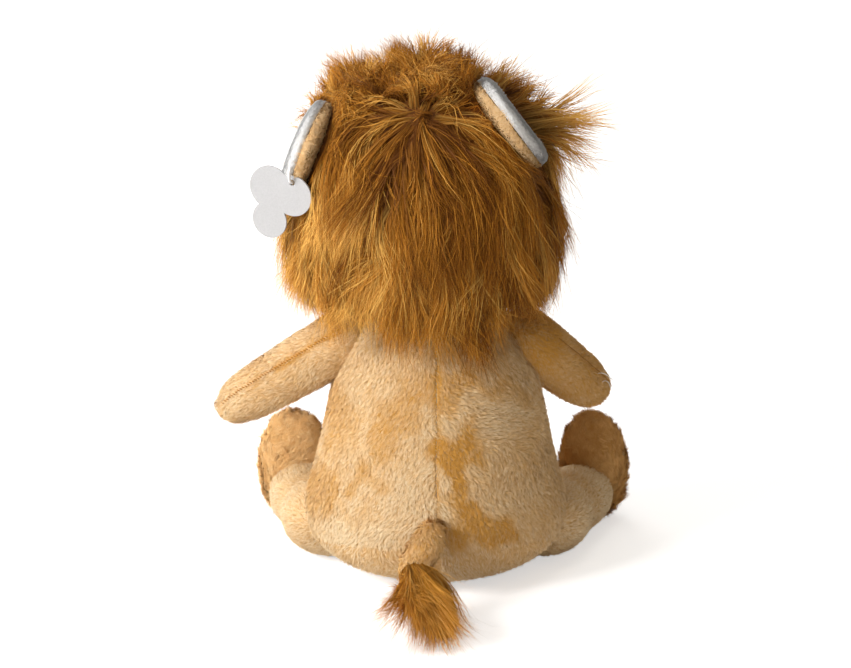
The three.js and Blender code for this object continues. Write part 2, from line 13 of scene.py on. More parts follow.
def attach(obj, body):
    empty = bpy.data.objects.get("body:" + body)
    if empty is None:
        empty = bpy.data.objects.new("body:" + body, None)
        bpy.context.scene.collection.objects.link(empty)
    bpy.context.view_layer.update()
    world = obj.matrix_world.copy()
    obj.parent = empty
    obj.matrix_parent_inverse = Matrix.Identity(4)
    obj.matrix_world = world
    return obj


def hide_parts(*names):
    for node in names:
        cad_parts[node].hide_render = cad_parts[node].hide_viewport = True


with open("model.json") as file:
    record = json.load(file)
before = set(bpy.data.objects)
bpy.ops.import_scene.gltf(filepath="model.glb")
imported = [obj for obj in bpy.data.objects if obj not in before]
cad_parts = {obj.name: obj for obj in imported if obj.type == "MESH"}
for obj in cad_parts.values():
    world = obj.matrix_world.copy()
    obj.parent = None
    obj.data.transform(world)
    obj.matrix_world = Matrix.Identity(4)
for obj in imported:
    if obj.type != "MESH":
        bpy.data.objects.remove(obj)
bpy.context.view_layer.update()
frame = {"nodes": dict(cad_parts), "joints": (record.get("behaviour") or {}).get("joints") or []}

# %% [markdown]
# The camera comes first, so that everything can be judged from the same place. The toy is seen from behind
# and a little above, through a long lens, so its height and width are barely changed by perspective.

# %% Camera
scene = bpy.context.scene
scene.view_settings.view_transform = "Standard"

CAMERA_DISTANCE = 2.4
CAMERA_ELEVATION = math.radians(20)
LOOK_AT = Vector((0.0057, 0, 0.136))

camera_data = bpy.data.cameras.new("camera")
camera_data.lens = 188
camera_data.sensor_width = 36
camera = bpy.data.objects.new("camera", camera_data)
scene.collection.objects.link(camera)
towards_camera = Vector((0, math.cos(CAMERA_ELEVATION), math.sin(CAMERA_ELEVATION)))
camera.location = LOOK_AT + towards_camera * CAMERA_DISTANCE
camera.rotation_euler = (-towards_camera).to_track_quat("-Z", "Y").to_euler()
scene.camera = camera
print("camera at", [round(c, 3) for c in camera.location])

# %% [markdown]
# A large soft lamp stands to the left of the camera, which leaves the toy's right side in shade. The world
# fills the shadows. The background is white only to the camera, so it adds no light of its own.

# %% Light, world and floor
def add_lamp(name, place, size, power, colour=(1, 1, 1)):
    data = bpy.data.lights.new(name, "AREA")
    data.size = size
    data.energy = power
    data.color = colour
    lamp = bpy.data.objects.new(name, data)
    scene.collection.objects.link(lamp)
    lamp.location = place
    lamp.rotation_euler = (LOOK_AT - lamp.location).to_track_quat("-Z", "Y").to_euler()
    return lamp


add_lamp("key_lamp", (1.15, 0.75, 0.85), 0.6, 25)
add_lamp("top_lamp", (0.1, 0.1, 1.5), 1.2, 5)
add_lamp("fill_lamp", (0.6, 1.6, 0.5), 1.4, 7, (1, 0.90, 0.76))
add_lamp("front_lamp", (0.7, -1.5, 0.9), 1.2, 9)


def maths(tree, operation, first, second):
    """The result of a sum on two values, each a socket or a number."""
    node = tree.nodes.new("ShaderNodeMath")
    node.operation = operation
    for socket, value in zip(node.inputs, (first, second)):
        if isinstance(value, float):
            socket.default_value = value
        else:
            tree.links.new(value, socket)
    return node.outputs[0]


FILL_COLOUR, FILL_STRENGTH = (1, 0.90, 0.75, 1), 0.24
world = bpy.data.worlds.new("world")
scene.world = world
world.use_nodes = True
tree = world.node_tree
tree.nodes.clear()
rays = tree.nodes.new("ShaderNodeLightPath").outputs
seen = maths(tree, "MAXIMUM", rays["Is Camera Ray"], rays["Is Glossy Ray"])
mix = tree.nodes.new("ShaderNodeMixShader")
tree.links.new(maths(tree, "MAXIMUM", seen, rays["Is Transmission Ray"]), mix.inputs["Fac"])
for socket, colour, strength in ((1, FILL_COLOUR, FILL_STRENGTH), (2, (1, 1, 1, 1), 1)):
    light = tree.nodes.new("ShaderNodeBackground")
    light.inputs["Color"].default_value = colour
    light.inputs["Strength"].default_value = strength
    tree.links.new(light.outputs[0], mix.inputs[socket])
tree.links.new(mix.outputs[0], tree.nodes.new("ShaderNodeOutputWorld").inputs["Surface"])

FLOOR_SIZE = 3
FLOOR_GLOW = 0.56  # added to the floor where the camera sees it, so that only the shadow shows on it
bm = bmesh.new()
bmesh.ops.create_grid(bm, x_segments=1, y_segments=1, size=FLOOR_SIZE)
floor_mesh = bpy.data.meshes.new("floor")
bm.to_mesh(floor_mesh)
bm.free()
floor = bpy.data.objects.new("floor", floor_mesh)
scene.collection.objects.link(floor)
floor_paint = bpy.data.materials.new("floor_paint")
floor_paint.use_nodes = True
tree = floor_paint.node_tree
bsdf = tree.nodes["Principled BSDF"]
for title, value in {"Base Color": (0.9, 0.9, 0.9, 1), "Roughness": 0.9, "Specular IOR Level": 0.1}.items():
    bsdf.inputs[title].default_value = value
glow = tree.nodes.new("ShaderNodeEmission")
rays = tree.nodes.new("ShaderNodeLightPath").outputs
tree.links.new(maths(tree, "MULTIPLY", rays["Is Camera Ray"], FLOOR_GLOW), glow.inputs["Strength"])
both = tree.nodes.new("ShaderNodeAddShader")
for shader, socket in zip((bsdf, glow), both.inputs):
    tree.links.new(shader.outputs[0], socket)
tree.links.new(both.outputs[0], tree.nodes["Material Output"].inputs["Surface"])
floor_mesh.materials.append(floor_paint)

# %% [markdown]
# Two node groups colour everything that grows. `pile_colour` mixes three shades of a fibre and darkens it
# towards its root. `mottle` breaks up a flat colour with soft noise, for fabric that shows between the
# fibres.

# %% Node groups
def srgb(red, green, blue):
    """A colour from its usual 0 to 255 numbers, as Blender's linear ones."""
    shares = [channel / 255 for channel in (red, green, blue)]
    return [s / 12.92 if s <= 0.04045 else ((s + 0.055) / 1.055) ** 2.4 for s in shares] + [1]


def new_group(name, inputs, outputs):
    group = bpy.data.node_groups.new(name, "ShaderNodeTree")
    for title, kind in inputs:
        group.interface.new_socket(title, in_out="INPUT", socket_type=kind)
    for title, kind in outputs:
        group.interface.new_socket(title, in_out="OUTPUT", socket_type=kind)
    enter = group.nodes.new("NodeGroupInput")
    leave = group.nodes.new("NodeGroupOutput")
    return group, enter, leave


def mix_colours(tree, factor, first, second):
    mix = tree.nodes.new("ShaderNodeMix")
    mix.data_type = "RGBA"
    tree.links.new(factor, mix.inputs["Factor"])
    tree.links.new(first, mix.inputs[6])
    tree.links.new(second, mix.inputs[7])
    return mix.outputs[2]


def ranged(tree, value, low, high, to_low=0.0, to_high=1.0):
    node = tree.nodes.new("ShaderNodeMapRange")
    tree.links.new(value, node.inputs["Value"])
    numbers = {"From Min": low, "From Max": high, "To Min": to_low, "To Max": to_high}
    for title, number in numbers.items():
        node.inputs[title].default_value = number
    return node.outputs["Result"]


COLOR, FLOAT, VECTOR = "NodeSocketColor", "NodeSocketFloat", "NodeSocketVector"
pile_colour, enter, leave = new_group(
    "pile_colour",
    [(title, COLOR) for title in ("Root", "Dark", "Middle", "Light")] + [("Shade", FLOAT), ("Along", FLOAT)],
    [("Color", COLOR)],
)
lower = ranged(pile_colour, enter.outputs["Shade"], 0, 0.5)
upper = ranged(pile_colour, enter.outputs["Shade"], 0.5, 1)
low_mix = mix_colours(pile_colour, lower, enter.outputs["Dark"], enter.outputs["Middle"])
fibre = mix_colours(pile_colour, upper, low_mix, enter.outputs["Light"])
out_of_root = ranged(pile_colour, enter.outputs["Along"], 0, 0.6, 0.25, 1)
rooted = mix_colours(pile_colour, out_of_root, enter.outputs["Root"], fibre)
pile_colour.links.new(rooted, leave.inputs["Color"])

mottle, enter, leave = new_group(
    "mottle",
    [("Vector", VECTOR), ("Scale", FLOAT), ("Dark", COLOR), ("Light", COLOR)],
    [("Color", COLOR), ("Height", FLOAT)],
)
cloud = mottle.nodes.new("ShaderNodeTexNoise")
cloud.inputs["Detail"].default_value = 4
mottle.links.new(enter.outputs["Vector"], cloud.inputs["Vector"])
mottle.links.new(enter.outputs["Scale"], cloud.inputs["Scale"])
clouds = ranged(mottle, cloud.outputs["Fac"], 0.35, 0.65)
speckled = mix_colours(mottle, clouds, enter.outputs["Dark"], enter.outputs["Light"])
mottle.links.new(speckled, leave.inputs["Color"])
mottle.links.new(cloud.outputs["Fac"], leave.inputs["Height"])
print("node groups:", [g.name for g in bpy.data.node_groups])

# %% [markdown]
# There are three kinds of material. Fibres read their own shade, fabric is mottled and slightly bumpy, and
# threads and plastics vary a little with one texture, so that no surface is quite even.

# %% Materials
def new_material(name, roughness, specular=0.3):
    material = bpy.data.materials.new(name)
    material.use_nodes = True
    bsdf = material.node_tree.nodes["Principled BSDF"]
    bsdf.inputs["Roughness"].default_value = roughness
    bsdf.inputs["Specular IOR Level"].default_value = specular
    return material, material.node_tree, bsdf


def attribute(tree, name):
    node = tree.nodes.new("ShaderNodeAttribute")
    node.attribute_name = name
    return node.outputs["Fac"]


def pile_material(name, root, dark, middle, light, roughness=0.75, specular=0.2):
    """Fibres: each reads its own shade and how far along it a point is."""
    material, tree, bsdf = new_material(name, roughness, specular)
    group = tree.nodes.new("ShaderNodeGroup")
    group.node_tree = pile_colour
    for title, colour in {"Root": root, "Dark": dark, "Middle": middle, "Light": light}.items():
        group.inputs[title].default_value = srgb(*colour)
    tree.links.new(attribute(tree, "shade"), group.inputs["Shade"])
    tree.links.new(attribute(tree, "along"), group.inputs["Along"])
    tree.links.new(group.outputs["Color"], bsdf.inputs["Base Color"])
    return material


def cloth_material(name, dark, light, scale=300, roughness=0.9, bump=0.25, specular=0.2):
    """Backing fabric, white plush and other cloth: soft mottling and a fine bump."""
    material, tree, bsdf = new_material(name, roughness, specular)
    place = tree.nodes.new("ShaderNodeTexCoord").outputs["Object"]
    group = tree.nodes.new("ShaderNodeGroup")
    group.node_tree = mottle
    group.inputs["Scale"].default_value = scale
    group.inputs["Dark"].default_value = srgb(*dark)
    group.inputs["Light"].default_value = srgb(*light)
    tree.links.new(place, group.inputs["Vector"])
    tree.links.new(group.outputs["Color"], bsdf.inputs["Base Color"])
    rise = tree.nodes.new("ShaderNodeBump")
    rise.inputs["Strength"].default_value = bump
    rise.inputs["Distance"].default_value = 0.0004
    tree.links.new(group.outputs["Height"], rise.inputs["Height"])
    tree.links.new(rise.outputs["Normal"], bsdf.inputs["Normal"])
    return material


def varied_material(name, texture, scale, first, second, roughness, specular=0.3, reach=1.0):
    """Threads and plastics: one texture changes the first colour to the second over its reach."""
    material, tree, bsdf = new_material(name, roughness, specular)
    pattern = tree.nodes.new("ShaderNodeTex" + texture)
    pattern.inputs["Scale"].default_value = scale
    if texture == "Wave":
        pattern.bands_direction = "DIAGONAL"
    place = tree.nodes.new("ShaderNodeTexCoord").outputs["Object"]
    tree.links.new(place, pattern.inputs["Vector"])
    ramp = tree.nodes.new("ShaderNodeValToRGB")
    ramp.color_ramp.elements[1].position = reach
    for element, colour in zip(ramp.color_ramp.elements, (first, second)):
        element.color = srgb(*colour)
    tree.links.new(pattern.outputs["Distance" if texture == "Voronoi" else "Fac"], ramp.inputs["Fac"])
    tree.links.new(ramp.outputs["Color"], bsdf.inputs["Base Color"])
    return material


TAN_PILE = pile_material("tan_pile", (192, 142, 76), (208, 152, 68), (228, 192, 141), (238, 217, 180))
FOOT_PILE = pile_material("foot_pile", (206, 154, 84), (204, 150, 80), (234, 188, 124), (244, 216, 166))
MANE_HAIR = pile_material("mane_hair", (74, 38, 6), (104, 58, 6), (188, 122, 36), (240, 188, 98), 0.6, 0.12)
TUFT_HAIR = pile_material(
    "tuft_hair", (110, 64, 14), (140, 84, 18), (208, 144, 52), (244, 198, 118), 0.55, 0.14
)
WHITE_PILE = pile_material("white_pile", (226, 226, 226), (222, 222, 222), (238, 238, 238), (250, 250, 250))
TAN_BACKING = cloth_material("tan_backing", (206, 162, 104), (222, 184, 130))
MANE_BACKING = cloth_material("mane_backing", (76, 42, 12), (112, 68, 26))
WHITE_BACKING = cloth_material("white_backing", (226, 226, 226), (240, 240, 240), 500)
FILLING = cloth_material("filling", (225, 223, 218), (245, 244, 240), 120)
print("materials:", len(bpy.data.materials))

# %% [markdown]
# The forms. A soft toy is sewn from flat panels and stuffed, so its parts are round, swell in the middle
# and taper to their seams. Each form starts as half an outline, a list of shares of height and radius,
# which is spun round. The lists are the ones that the solids use, so the skins lie just inside them.

# %% Outlines and sizes, in metres
TORSO_SHARES = [
    (0, 0), (0.01, 0.48), (0.05, 0.75), (0.13, 0.93), (0.25, 1), (0.4, 0.965),
    (0.55, 0.9), (0.7, 0.83), (0.82, 0.71), (0.91, 0.5), (0.97, 0.28), (1, 0),
]
HEAD_SHARES = [
    (0, 0), (0.05, 0.36), (0.16, 0.68), (0.3, 0.91), (0.44, 1),
    (0.6, 0.975), (0.75, 0.86), (0.88, 0.63), (0.96, 0.36), (1, 0),
]
MANE_SHARES = [
    (0, 0), (0.04, 0.56), (0.12, 0.86), (0.28, 0.98), (0.46, 1),
    (0.64, 0.985), (0.78, 0.89), (0.89, 0.69), (0.96, 0.42), (1, 0),
]
FOOT_SHARES = [(0, 0), (0.05, 0.55), (0.2, 0.88), (0.42, 1), (0.62, 0.97), (0.8, 0.8), (0.93, 0.5), (1, 0)]
ARM_SHARES = [(0, 1), (0.22, 0.98), (0.45, 0.93), (0.7, 0.87), (0.86, 0.73), (0.96, 0.42), (1, 0)]
LEG_SHARES = [(0, 1), (0.3, 1), (0.6, 0.95), (0.82, 0.8), (0.95, 0.46), (1, 0)]

NECK = Vector((0, 0, 0.148))
LEAN = Matrix.Translation(NECK) @ Matrix.Rotation(math.radians(8.3), 4, "Y")
PILE = 0.0018  # how far the short pile stands off the fabric
joint_at = {j["child"]: Vector(j["pos_m"]) for j in frame["joints"]}
print("joints:", sorted(joint_at))


# %% [markdown]
# Forms are built with bmesh and then become objects. These helpers turn an outline into a round form, cut
# forms along planes and apply modifiers at once, so that each mesh holds its final shape.

# %% Helpers that make objects
def object_of(name, bm, *materials):
    """Turns a bmesh into an object at the origin and frees it."""
    mesh = bpy.data.meshes.new(name)
    bm.to_mesh(mesh)
    bm.free()
    for material in materials:
        mesh.materials.append(material)
    mesh.shade_smooth()
    made = bpy.data.objects.new(name, mesh)
    scene.collection.objects.link(made)
    return made


def applied(made):
    """Replaces an object's mesh by what its modifiers make of it."""
    graph = bpy.context.evaluated_depsgraph_get()
    old = made.data
    mesh = bpy.data.meshes.new_from_object(made.evaluated_get(graph))
    made.modifiers.clear()
    made.data = mesh
    mesh.name = made.name
    bpy.data.meshes.remove(old)
    return made


def spun(outline, sides, joined):
    """A form spun about +Z from radii and heights; points nearer than joined become one."""
    bm = bmesh.new()
    line = [bm.verts.new((radius, 0, height)) for radius, height in outline]
    for a, b in zip(line, line[1:]):
        bm.edges.new((a, b))
    bmesh.ops.spin(
        bm, geom=bm.verts[:] + bm.edges[:], cent=(0, 0, 0), axis=(0, 0, 1),
        angle=math.tau, steps=sides, use_merge=True,
    )
    bmesh.ops.remove_doubles(bm, verts=bm.verts, dist=joined)
    return bm


def turned(shares, width, depth, length, low=0.0, sides=48, rings=26):
    """A closed form of revolution about +Z, squashed to its width and depth."""
    heights = (1 - np.cos(np.linspace(0, math.pi, rings))) / 2
    at, radius = np.array(shares).T
    bm = spun([(np.interp(h, at, radius), h) for h in heights], sides, 1e-5)
    bmesh.ops.scale(bm, vec=(width / 2, depth / 2, length), verts=bm.verts)
    bmesh.ops.translate(bm, vec=(0, 0, low), verts=bm.verts)
    bmesh.ops.recalc_face_normals(bm, faces=bm.faces)
    return bm


def limb(shares, width, length, inset):
    """A closed form along +Z whose round root is centred on the origin."""
    radius = width / 2 - inset
    tip = length - inset
    whole = tip + radius
    root = [(1 - math.cos(math.radians(a)), math.sin(math.radians(a))) for a in range(0, 90, 15)]
    outline = [(radius * h / whole, r) for h, r in root]
    outline += [((radius + tip * at) / whole, share) for at, share in shares]
    return turned(outline, 2 * radius, 2 * radius, whole, -radius, 32, 30)


def moved(bm, matrix):
    bmesh.ops.transform(bm, matrix=matrix, verts=bm.verts)
    return bm


def sliced(bm, *planes, capped=False):
    """Cuts away what lies beyond each plane, a point and the way out, and may close the cuts."""
    for point, outward in planes:
        bmesh.ops.bisect_plane(
            bm, geom=bm.verts[:] + bm.edges[:] + bm.faces[:],
            plane_co=point, plane_no=outward, clear_outer=True,
        )
    if capped:
        bmesh.ops.holes_fill(bm, edges=[e for e in bm.edges if e.is_boundary])


def ball(size, u_segments, v_segments, shaped=None):
    """A sphere stretched to its three half sizes, after its vertices have been shaped."""
    bm = bmesh.new()
    bmesh.ops.create_uvsphere(bm, u_segments=u_segments, v_segments=v_segments, radius=1)
    if shaped is not None:
        for vertex in bm.verts:
            shaped(vertex.co)
    bmesh.ops.scale(bm, vec=size, verts=bm.verts)
    return bm


def tree_of(made):
    """A mesh as a tree that finds its nearest point, or what a ray hits."""
    bm = bmesh.new()
    bm.from_mesh(made.data)
    found = BVHTree.FromBMesh(bm)
    bm.free()
    return found


def coordinates(mesh, name="co"):
    found = np.empty(len(mesh.vertices) * 3)
    mesh.vertices.foreach_get(name, found)
    return found.reshape(-1, 3)


# %% [markdown]
# Stuffing. A sewn skin is blown up from inside by its filling and held back by its seams. A cloth
# simulation with pressure inside and pins on the seams stands for that. As it is set here it moves the
# skins by less than a tenth of a millimetre, so the shapes come from the outlines above. The cell prints
# how far each one moved.

# %% Stuffing a skin
VOXEL = 0.005
CLOTH_FRAMES = 20


def stuffed(name, bm, on_seam, cap=0.003):
    """The form as a stuffed skin. on_seam gives how firmly a seam holds each place, 0 to 1."""
    made = object_of(name, bm)
    remesh = made.modifiers.new("even", "REMESH")
    remesh.mode = "VOXEL"
    remesh.voxel_size = VOXEL
    applied(made)
    start = coordinates(made.data)
    held = np.clip(on_seam(start), 0, 1)
    seams = made.vertex_groups.new(name="seams")
    for index, weight in enumerate(held):
        if weight > 0.02:
            seams.add([index], float(weight), "REPLACE")
    cloth = made.modifiers.new("cloth", "CLOTH")
    cloth.settings.quality = 5
    cloth.settings.tension_stiffness = 10
    cloth.settings.bending_stiffness = 0.6
    cloth.settings.use_pressure = True
    cloth.settings.uniform_pressure_force = 4
    cloth.settings.effector_weights.gravity = 0
    cloth.settings.vertex_group_mass = "seams"
    cloth.point_cache.frame_start = 1
    cloth.point_cache.frame_end = CLOTH_FRAMES
    for number in range(1, CLOTH_FRAMES + 1):
        scene.frame_set(number)
    applied(made)
    scene.frame_set(1)
    step = coordinates(made.data) - start
    far = np.linalg.norm(step, axis=1, keepdims=True)
    step *= np.minimum(1, cap / np.maximum(far, 1e-9))
    made.data.vertices.foreach_set("co", (start + step).ravel())
    print(name, "moved up to", round(float(far.max()) * 1000, 1), "mm, capped at", cap * 1000)
    bm = bmesh.new()
    bm.from_mesh(made.data)
    for _ in range(2):
        bmesh.ops.smooth_vert(
            bm, verts=bm.verts, factor=0.4, use_axis_x=True, use_axis_y=True, use_axis_z=True
        )
    bm.to_mesh(made.data)
    bm.free()
    made.vertex_groups.clear()
    finer = made.modifiers.new("finer", "SUBSURF")
    finer.levels = finer.render_levels = 1
    applied(made)
    made.data.shade_smooth()
    return made


def cut(made, name, planes, materials, thickness=0.0012):
    """One panel of a skin: what is left of it on the inner side of each plane, as a thin wall."""
    bm = bmesh.new()
    bm.from_mesh(made.data)
    sliced(bm, *planes)
    panel = object_of(name, bm, *materials)
    wall = panel.modifiers.new("wall", "SOLIDIFY")
    wall.thickness = thickness
    wall.offset = -1
    return applied(panel)


# %% [markdown]
# Fibres. Plush is woven with a pile: thousands of fibres that stand off the backing, lean the way they
# were last brushed and gather in small tufts. Blender's hair can't be exported, so each fibre is a tapered
# ribbon of two to six faces. No bmesh operator grows such ribbons, so numpy lays out all of a piece's at
# once. Each vertex keeps two numbers for the material: its fibre's shade and how far along the fibre it
# is. The same two numbers are its place on the UV map OFBake, so that a bake finds one colour for each.

# %% Fibres as ribbons
def unit(vectors):
    return vectors / np.maximum(np.linalg.norm(vectors, axis=-1, keepdims=True), 1e-12)


def wave(places, size, seed):
    """Smooth noise from about -1 to 1 that changes over the given size."""
    rng = np.random.default_rng(seed)
    total = np.zeros(places.shape[:-1])
    for _ in range(7):
        direction = unit(rng.normal(size=3)) * rng.uniform(0.6, 1.5) * math.tau / (2 * size)
        total += np.sin(places @ direction + rng.uniform(0, math.tau))
    return total / 3.2


def waves(places, size, first):
    """Three such noises side by side, with seeds from the first on."""
    return np.stack([wave(places, size, first + k) for k in range(3)], -1)


def laid(ways, normals):
    """The part of each way that runs along the skin."""
    return ways - normals * (ways * normals).sum(1, keepdims=True)


def nearest(places, targets):
    """The number of the target nearest to each place."""
    tree = KDTree(len(targets))
    for index, target in enumerate(targets):
        tree.insert(target, index)
    tree.balance()
    return np.array([tree.find(place)[1] for place in places])


def skin_of(made):
    """The triangles of a mesh: corners, corner normals and areas. bmesh operators may number what they
    make differently in each run, so the triangles are put in order of place, and random draws repeat."""
    mesh = made.data
    places = coordinates(mesh)
    rank = np.empty(len(places), int)
    rank[np.lexsort(np.round(places, 6).T)] = np.arange(len(places))
    index = []
    for polygon in mesh.polygons:
        ring = list(polygon.vertices)
        start = int(np.argmin(rank[ring]))
        ring = ring[start:] + ring[:start]
        index += [(ring[0], second, third) for second, third in zip(ring[1:], ring[2:])]
    index = np.array(index)
    index = index[np.lexsort(rank[index].T)]
    corners = np.round(places, 6)[index]
    normals = np.round(coordinates(mesh, "normal"), 4)[index]
    across = np.cross(corners[:, 1] - corners[:, 0], corners[:, 2] - corners[:, 0])
    return corners, normals, np.linalg.norm(across, axis=1) / 2


def scattered(skin, count, rng, wanted=None):
    """Random root places on a skin and the outward directions there. wanted thins them out by place."""
    corners, normals, areas = skin
    weight = areas.copy()
    if wanted is not None:
        weight *= wanted(corners.mean(1), normals.mean(1))
    chosen = rng.choice(len(weight), count, p=weight / weight.sum())
    a, b = rng.random((2, count, 1))
    flip = a + b > 1
    a, b = np.where(flip, 1 - a, a), np.where(flip, 1 - b, b)
    shares = np.stack([1 - a - b, a, b], 1)
    return (corners[chosen] * shares).sum(1), unit((normals[chosen] * shares).sum(1))


def ribbons(name, paths, widths, facing, shades, material, body, soft=0.5, taper=1.6):
    """One mesh of tapered ribbons. paths is (fibres, stations, 3); facing is the way that each fibre's flat
    side looks, and soft is how far its shading follows facing rather than the ribbon itself."""
    count, stations = paths.shape[:2]
    along = np.linspace(0, 1, stations)
    tangents = unit(np.gradient(paths, axis=1))
    across = unit(np.cross(tangents, facing[:, None]))
    half = widths[:, None] / 2 * (1 - along**taper)
    left = paths - across * half[..., None]
    right = paths + across * half[..., None]
    per = 2 * stations - 1
    points = np.empty((count, per, 3))
    points[:, 0 : per - 1 : 2] = left[:, :-1]
    points[:, 1 : per - 1 : 2] = right[:, :-1]
    points[:, -1] = paths[:, -1]
    station = np.append(np.repeat(np.arange(stations - 1), 2), stations - 1)
    quads = [(2 * s, 2 * s + 1, 2 * s + 3, 2 * s + 2) for s in range(stations - 2)]
    corners = [c for quad in quads for c in quad] + [per - 3, per - 2, per - 1]
    sizes = [4] * len(quads) + [3]
    first = np.arange(count)[:, None] * per
    loops = (first + corners).ravel()
    mesh = bpy.data.meshes.new(name)
    mesh.vertices.add(count * per)
    mesh.vertices.foreach_set("co", points.ravel())
    mesh.loops.add(len(loops))
    mesh.loops.foreach_set("vertex_index", loops)
    totals = np.tile(sizes, count)
    mesh.polygons.add(len(totals))
    mesh.polygons.foreach_set("loop_start", np.cumsum(totals) - totals)
    mesh.polygons.foreach_set("loop_total", totals)
    mesh.update(calc_edges=True)
    mesh.validate()
    shade = np.repeat(np.clip(shades, 0.01, 0.99), per)
    height = np.tile(np.clip(along[station], 0.01, 0.99), count)
    for title, values in {"shade": shade, "along": height}.items():
        numbers = mesh.attributes.new(title, "FLOAT", "POINT").data
        numbers.foreach_set("value", values.astype(np.float32))
    layer = mesh.uv_layers.new(name="OFBake")
    spots = np.stack([shade[loops], height[loops]], 1).astype(np.float32)
    layer.uv.foreach_set("vector", spots.ravel())
    mesh.materials.append(material)
    mesh.shade_smooth()
    own = unit(np.cross(across, tangents))
    own *= np.sign((own * facing[:, None]).sum(-1, keepdims=True) + 1e-9)
    look = unit(own * (1 - soft) + facing[:, None] * soft)[:, station]
    mesh.normals_split_custom_set_from_vertices(look.reshape(-1, 3).astype(np.float32))
    made = bpy.data.objects.new(name, mesh)
    scene.collection.objects.link(made)
    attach(made, body)
    print(name, count, "fibres,", (2 * len(quads) + 1) * count, "triangles")
    return made


def gathered(places, size, seed):
    """The number of the small tuft that each root belongs to, and how many tufts there are."""
    warped = places + 0.5 * size * waves(places, 2 * size, seed)
    cells = np.floor(warped / size).astype(int)
    _, tuft = np.unique(cells, axis=0, return_inverse=True)
    tuft = tuft.ravel()
    return tuft, tuft.max() + 1


FURROW = 0.0022  # how far from a seam the pile stays short


def grow_pile(
    name, skin, count, comb, length, body, material, seed, lift=0.45, shade=None, wanted=None,
    size=0.0016, width=0.00048, furrow=None, messy=0.3, lit=(0, 0, 0), draw=0.62,
):
    """Short pile on a skin. comb gives the way it is brushed at each place, and furrow how far each place is
    from a seam, near which the pile is short and painted dark, the shade of the seam's crease."""
    rng = np.random.default_rng(seed)
    places, normals = scattered(skin, count, rng, wanted)
    tuft, tufts = gathered(places, size, seed)
    number = np.bincount(tuft, minlength=tufts)[:, None]
    middle = np.stack([np.bincount(tuft, places[:, k], tufts) for k in range(3)], 1) / np.maximum(number, 1)
    brushed = comb(places, normals) + rng.normal(size=(tufts, 3))[tuft] * messy
    brushed = laid(unit(brushed + rng.normal(size=(count, 3)) * 0.16), normals)
    lifts = lift * (1 + 0.22 * rng.normal(size=tufts)[tuft] + 0.12 * rng.normal(size=count))[:, None]
    long = length * (1 + 0.13 * rng.normal(size=tufts)[tuft] + 0.1 * rng.normal(size=count))
    near = np.ones(count)
    if furrow is not None:
        near = np.clip(furrow(places) / FURROW, 0, 1)
        long *= 0.45 + 0.55 * near
    start = unit(normals * lifts + brushed * (1 - lift * 0.6))
    tip = places + start * long[:, None] + (brushed - normals * 0.35) * (long * 0.33)[:, None]
    tip += (middle[tuft] - places) * draw
    half = places + start * (long * 0.52)[:, None] + (middle[tuft] - places) * draw / 2
    paths = np.stack([places - normals * 0.0004, half, tip], 1)
    paths[..., 2] = np.maximum(paths[..., 2], 0.0003)
    facing = normals + np.array(lit) + rng.normal(size=(tufts, 3))[tuft] * 0.12
    facing = unit(facing + rng.normal(size=(count, 3)) * 0.12)
    tone = 0.6 + 0.09 * rng.normal(size=tufts)[tuft] + 0.06 * rng.normal(size=count)
    if shade is not None:
        tone += shade(places)
    # Painted shade: the pile darkens in a seam's crease
    tone -= 0.4 * (1 - near)
    widths = width * (1 + 0.2 * rng.normal(size=count))
    return ribbons(name, paths, widths, facing, tone, material, body, 0.82)


# %% [markdown]
# The torso is one pear-shaped bag of four panels: a belly, two back panels that meet in the middle and a
# seat. It is stuffed as one skin, then cut along its seams. The pile is brushed down and out from the
# middle seam, with a few patches that were stroked the wrong way, painted darker with the shade such nap
# shows, and a few painted lighter.

# %% Torso
def seen_from_behind(places):
    """Across and up as the camera sees them, in millimetres, from the middle of the seat."""
    return 1000 * np.stack([places[:, 0], 0.94 * places[:, 2] - 0.342 * places[:, 1]], 1)


def blots(places, spots):
    """The sum of soft oval spots: across, up, half width, half height and strength, as seen from behind."""
    seen = seen_from_behind(places)
    ragged = seen + 5 * np.stack([wave(places, 0.012, 71), wave(places, 0.012, 72)], 1)
    total = np.zeros(len(places))
    for across, up, wide, high, strength in spots:
        far = ((ragged[:, 0] - across) / wide) ** 2 + ((ragged[:, 1] - up) / high) ** 2
        total += strength * np.clip(1.6 - 1.2 * far, 0, 1)
    return total


def between(values, low, high):
    return np.clip((values - low) / (high - low), 0, 1)


def soft_spot(seen, across, up, wide, high, power=2):
    """1 in the middle of an oval as seen from behind, and 0 well outside it."""
    return np.exp(-(((seen[:, 0] - across) / wide) ** power + ((seen[:, 1] - up) / high) ** power))


TORSO_WIDTH, TORSO_DEPTH, TORSO_HEIGHT = 0.136, 0.116, 0.166
SITS_ON = ((0, 0, 0.0015), (0, 0, -1))  # what would lie below this plane is cut off flat
SEAT_SLOPE = math.atan2(0.026, 0.116)
SEAT_POINT = Vector((0, 0, 0.021))
SEAT_UP = Vector((0, -math.sin(SEAT_SLOPE), math.cos(SEAT_SLOPE)))


def from_seat_seam(places):
    return np.abs((places - np.array(SEAT_POINT)) @ np.array(SEAT_UP))


def torso_seams(places):
    middle = 1 - between(np.abs(places[:, 0]), 0.001, 0.004)
    middle *= places[:, 1] > 0
    side = 1 - between(np.abs(places[:, 1]), 0.001, 0.004)
    seat = 1 - between(from_seat_seam(places), 0.001, 0.004)
    neck = between(places[:, 2], 0.136, 0.146)
    return np.maximum.reduce([middle, side, seat, neck, 1.0 * (places[:, 2] < 0.006)])


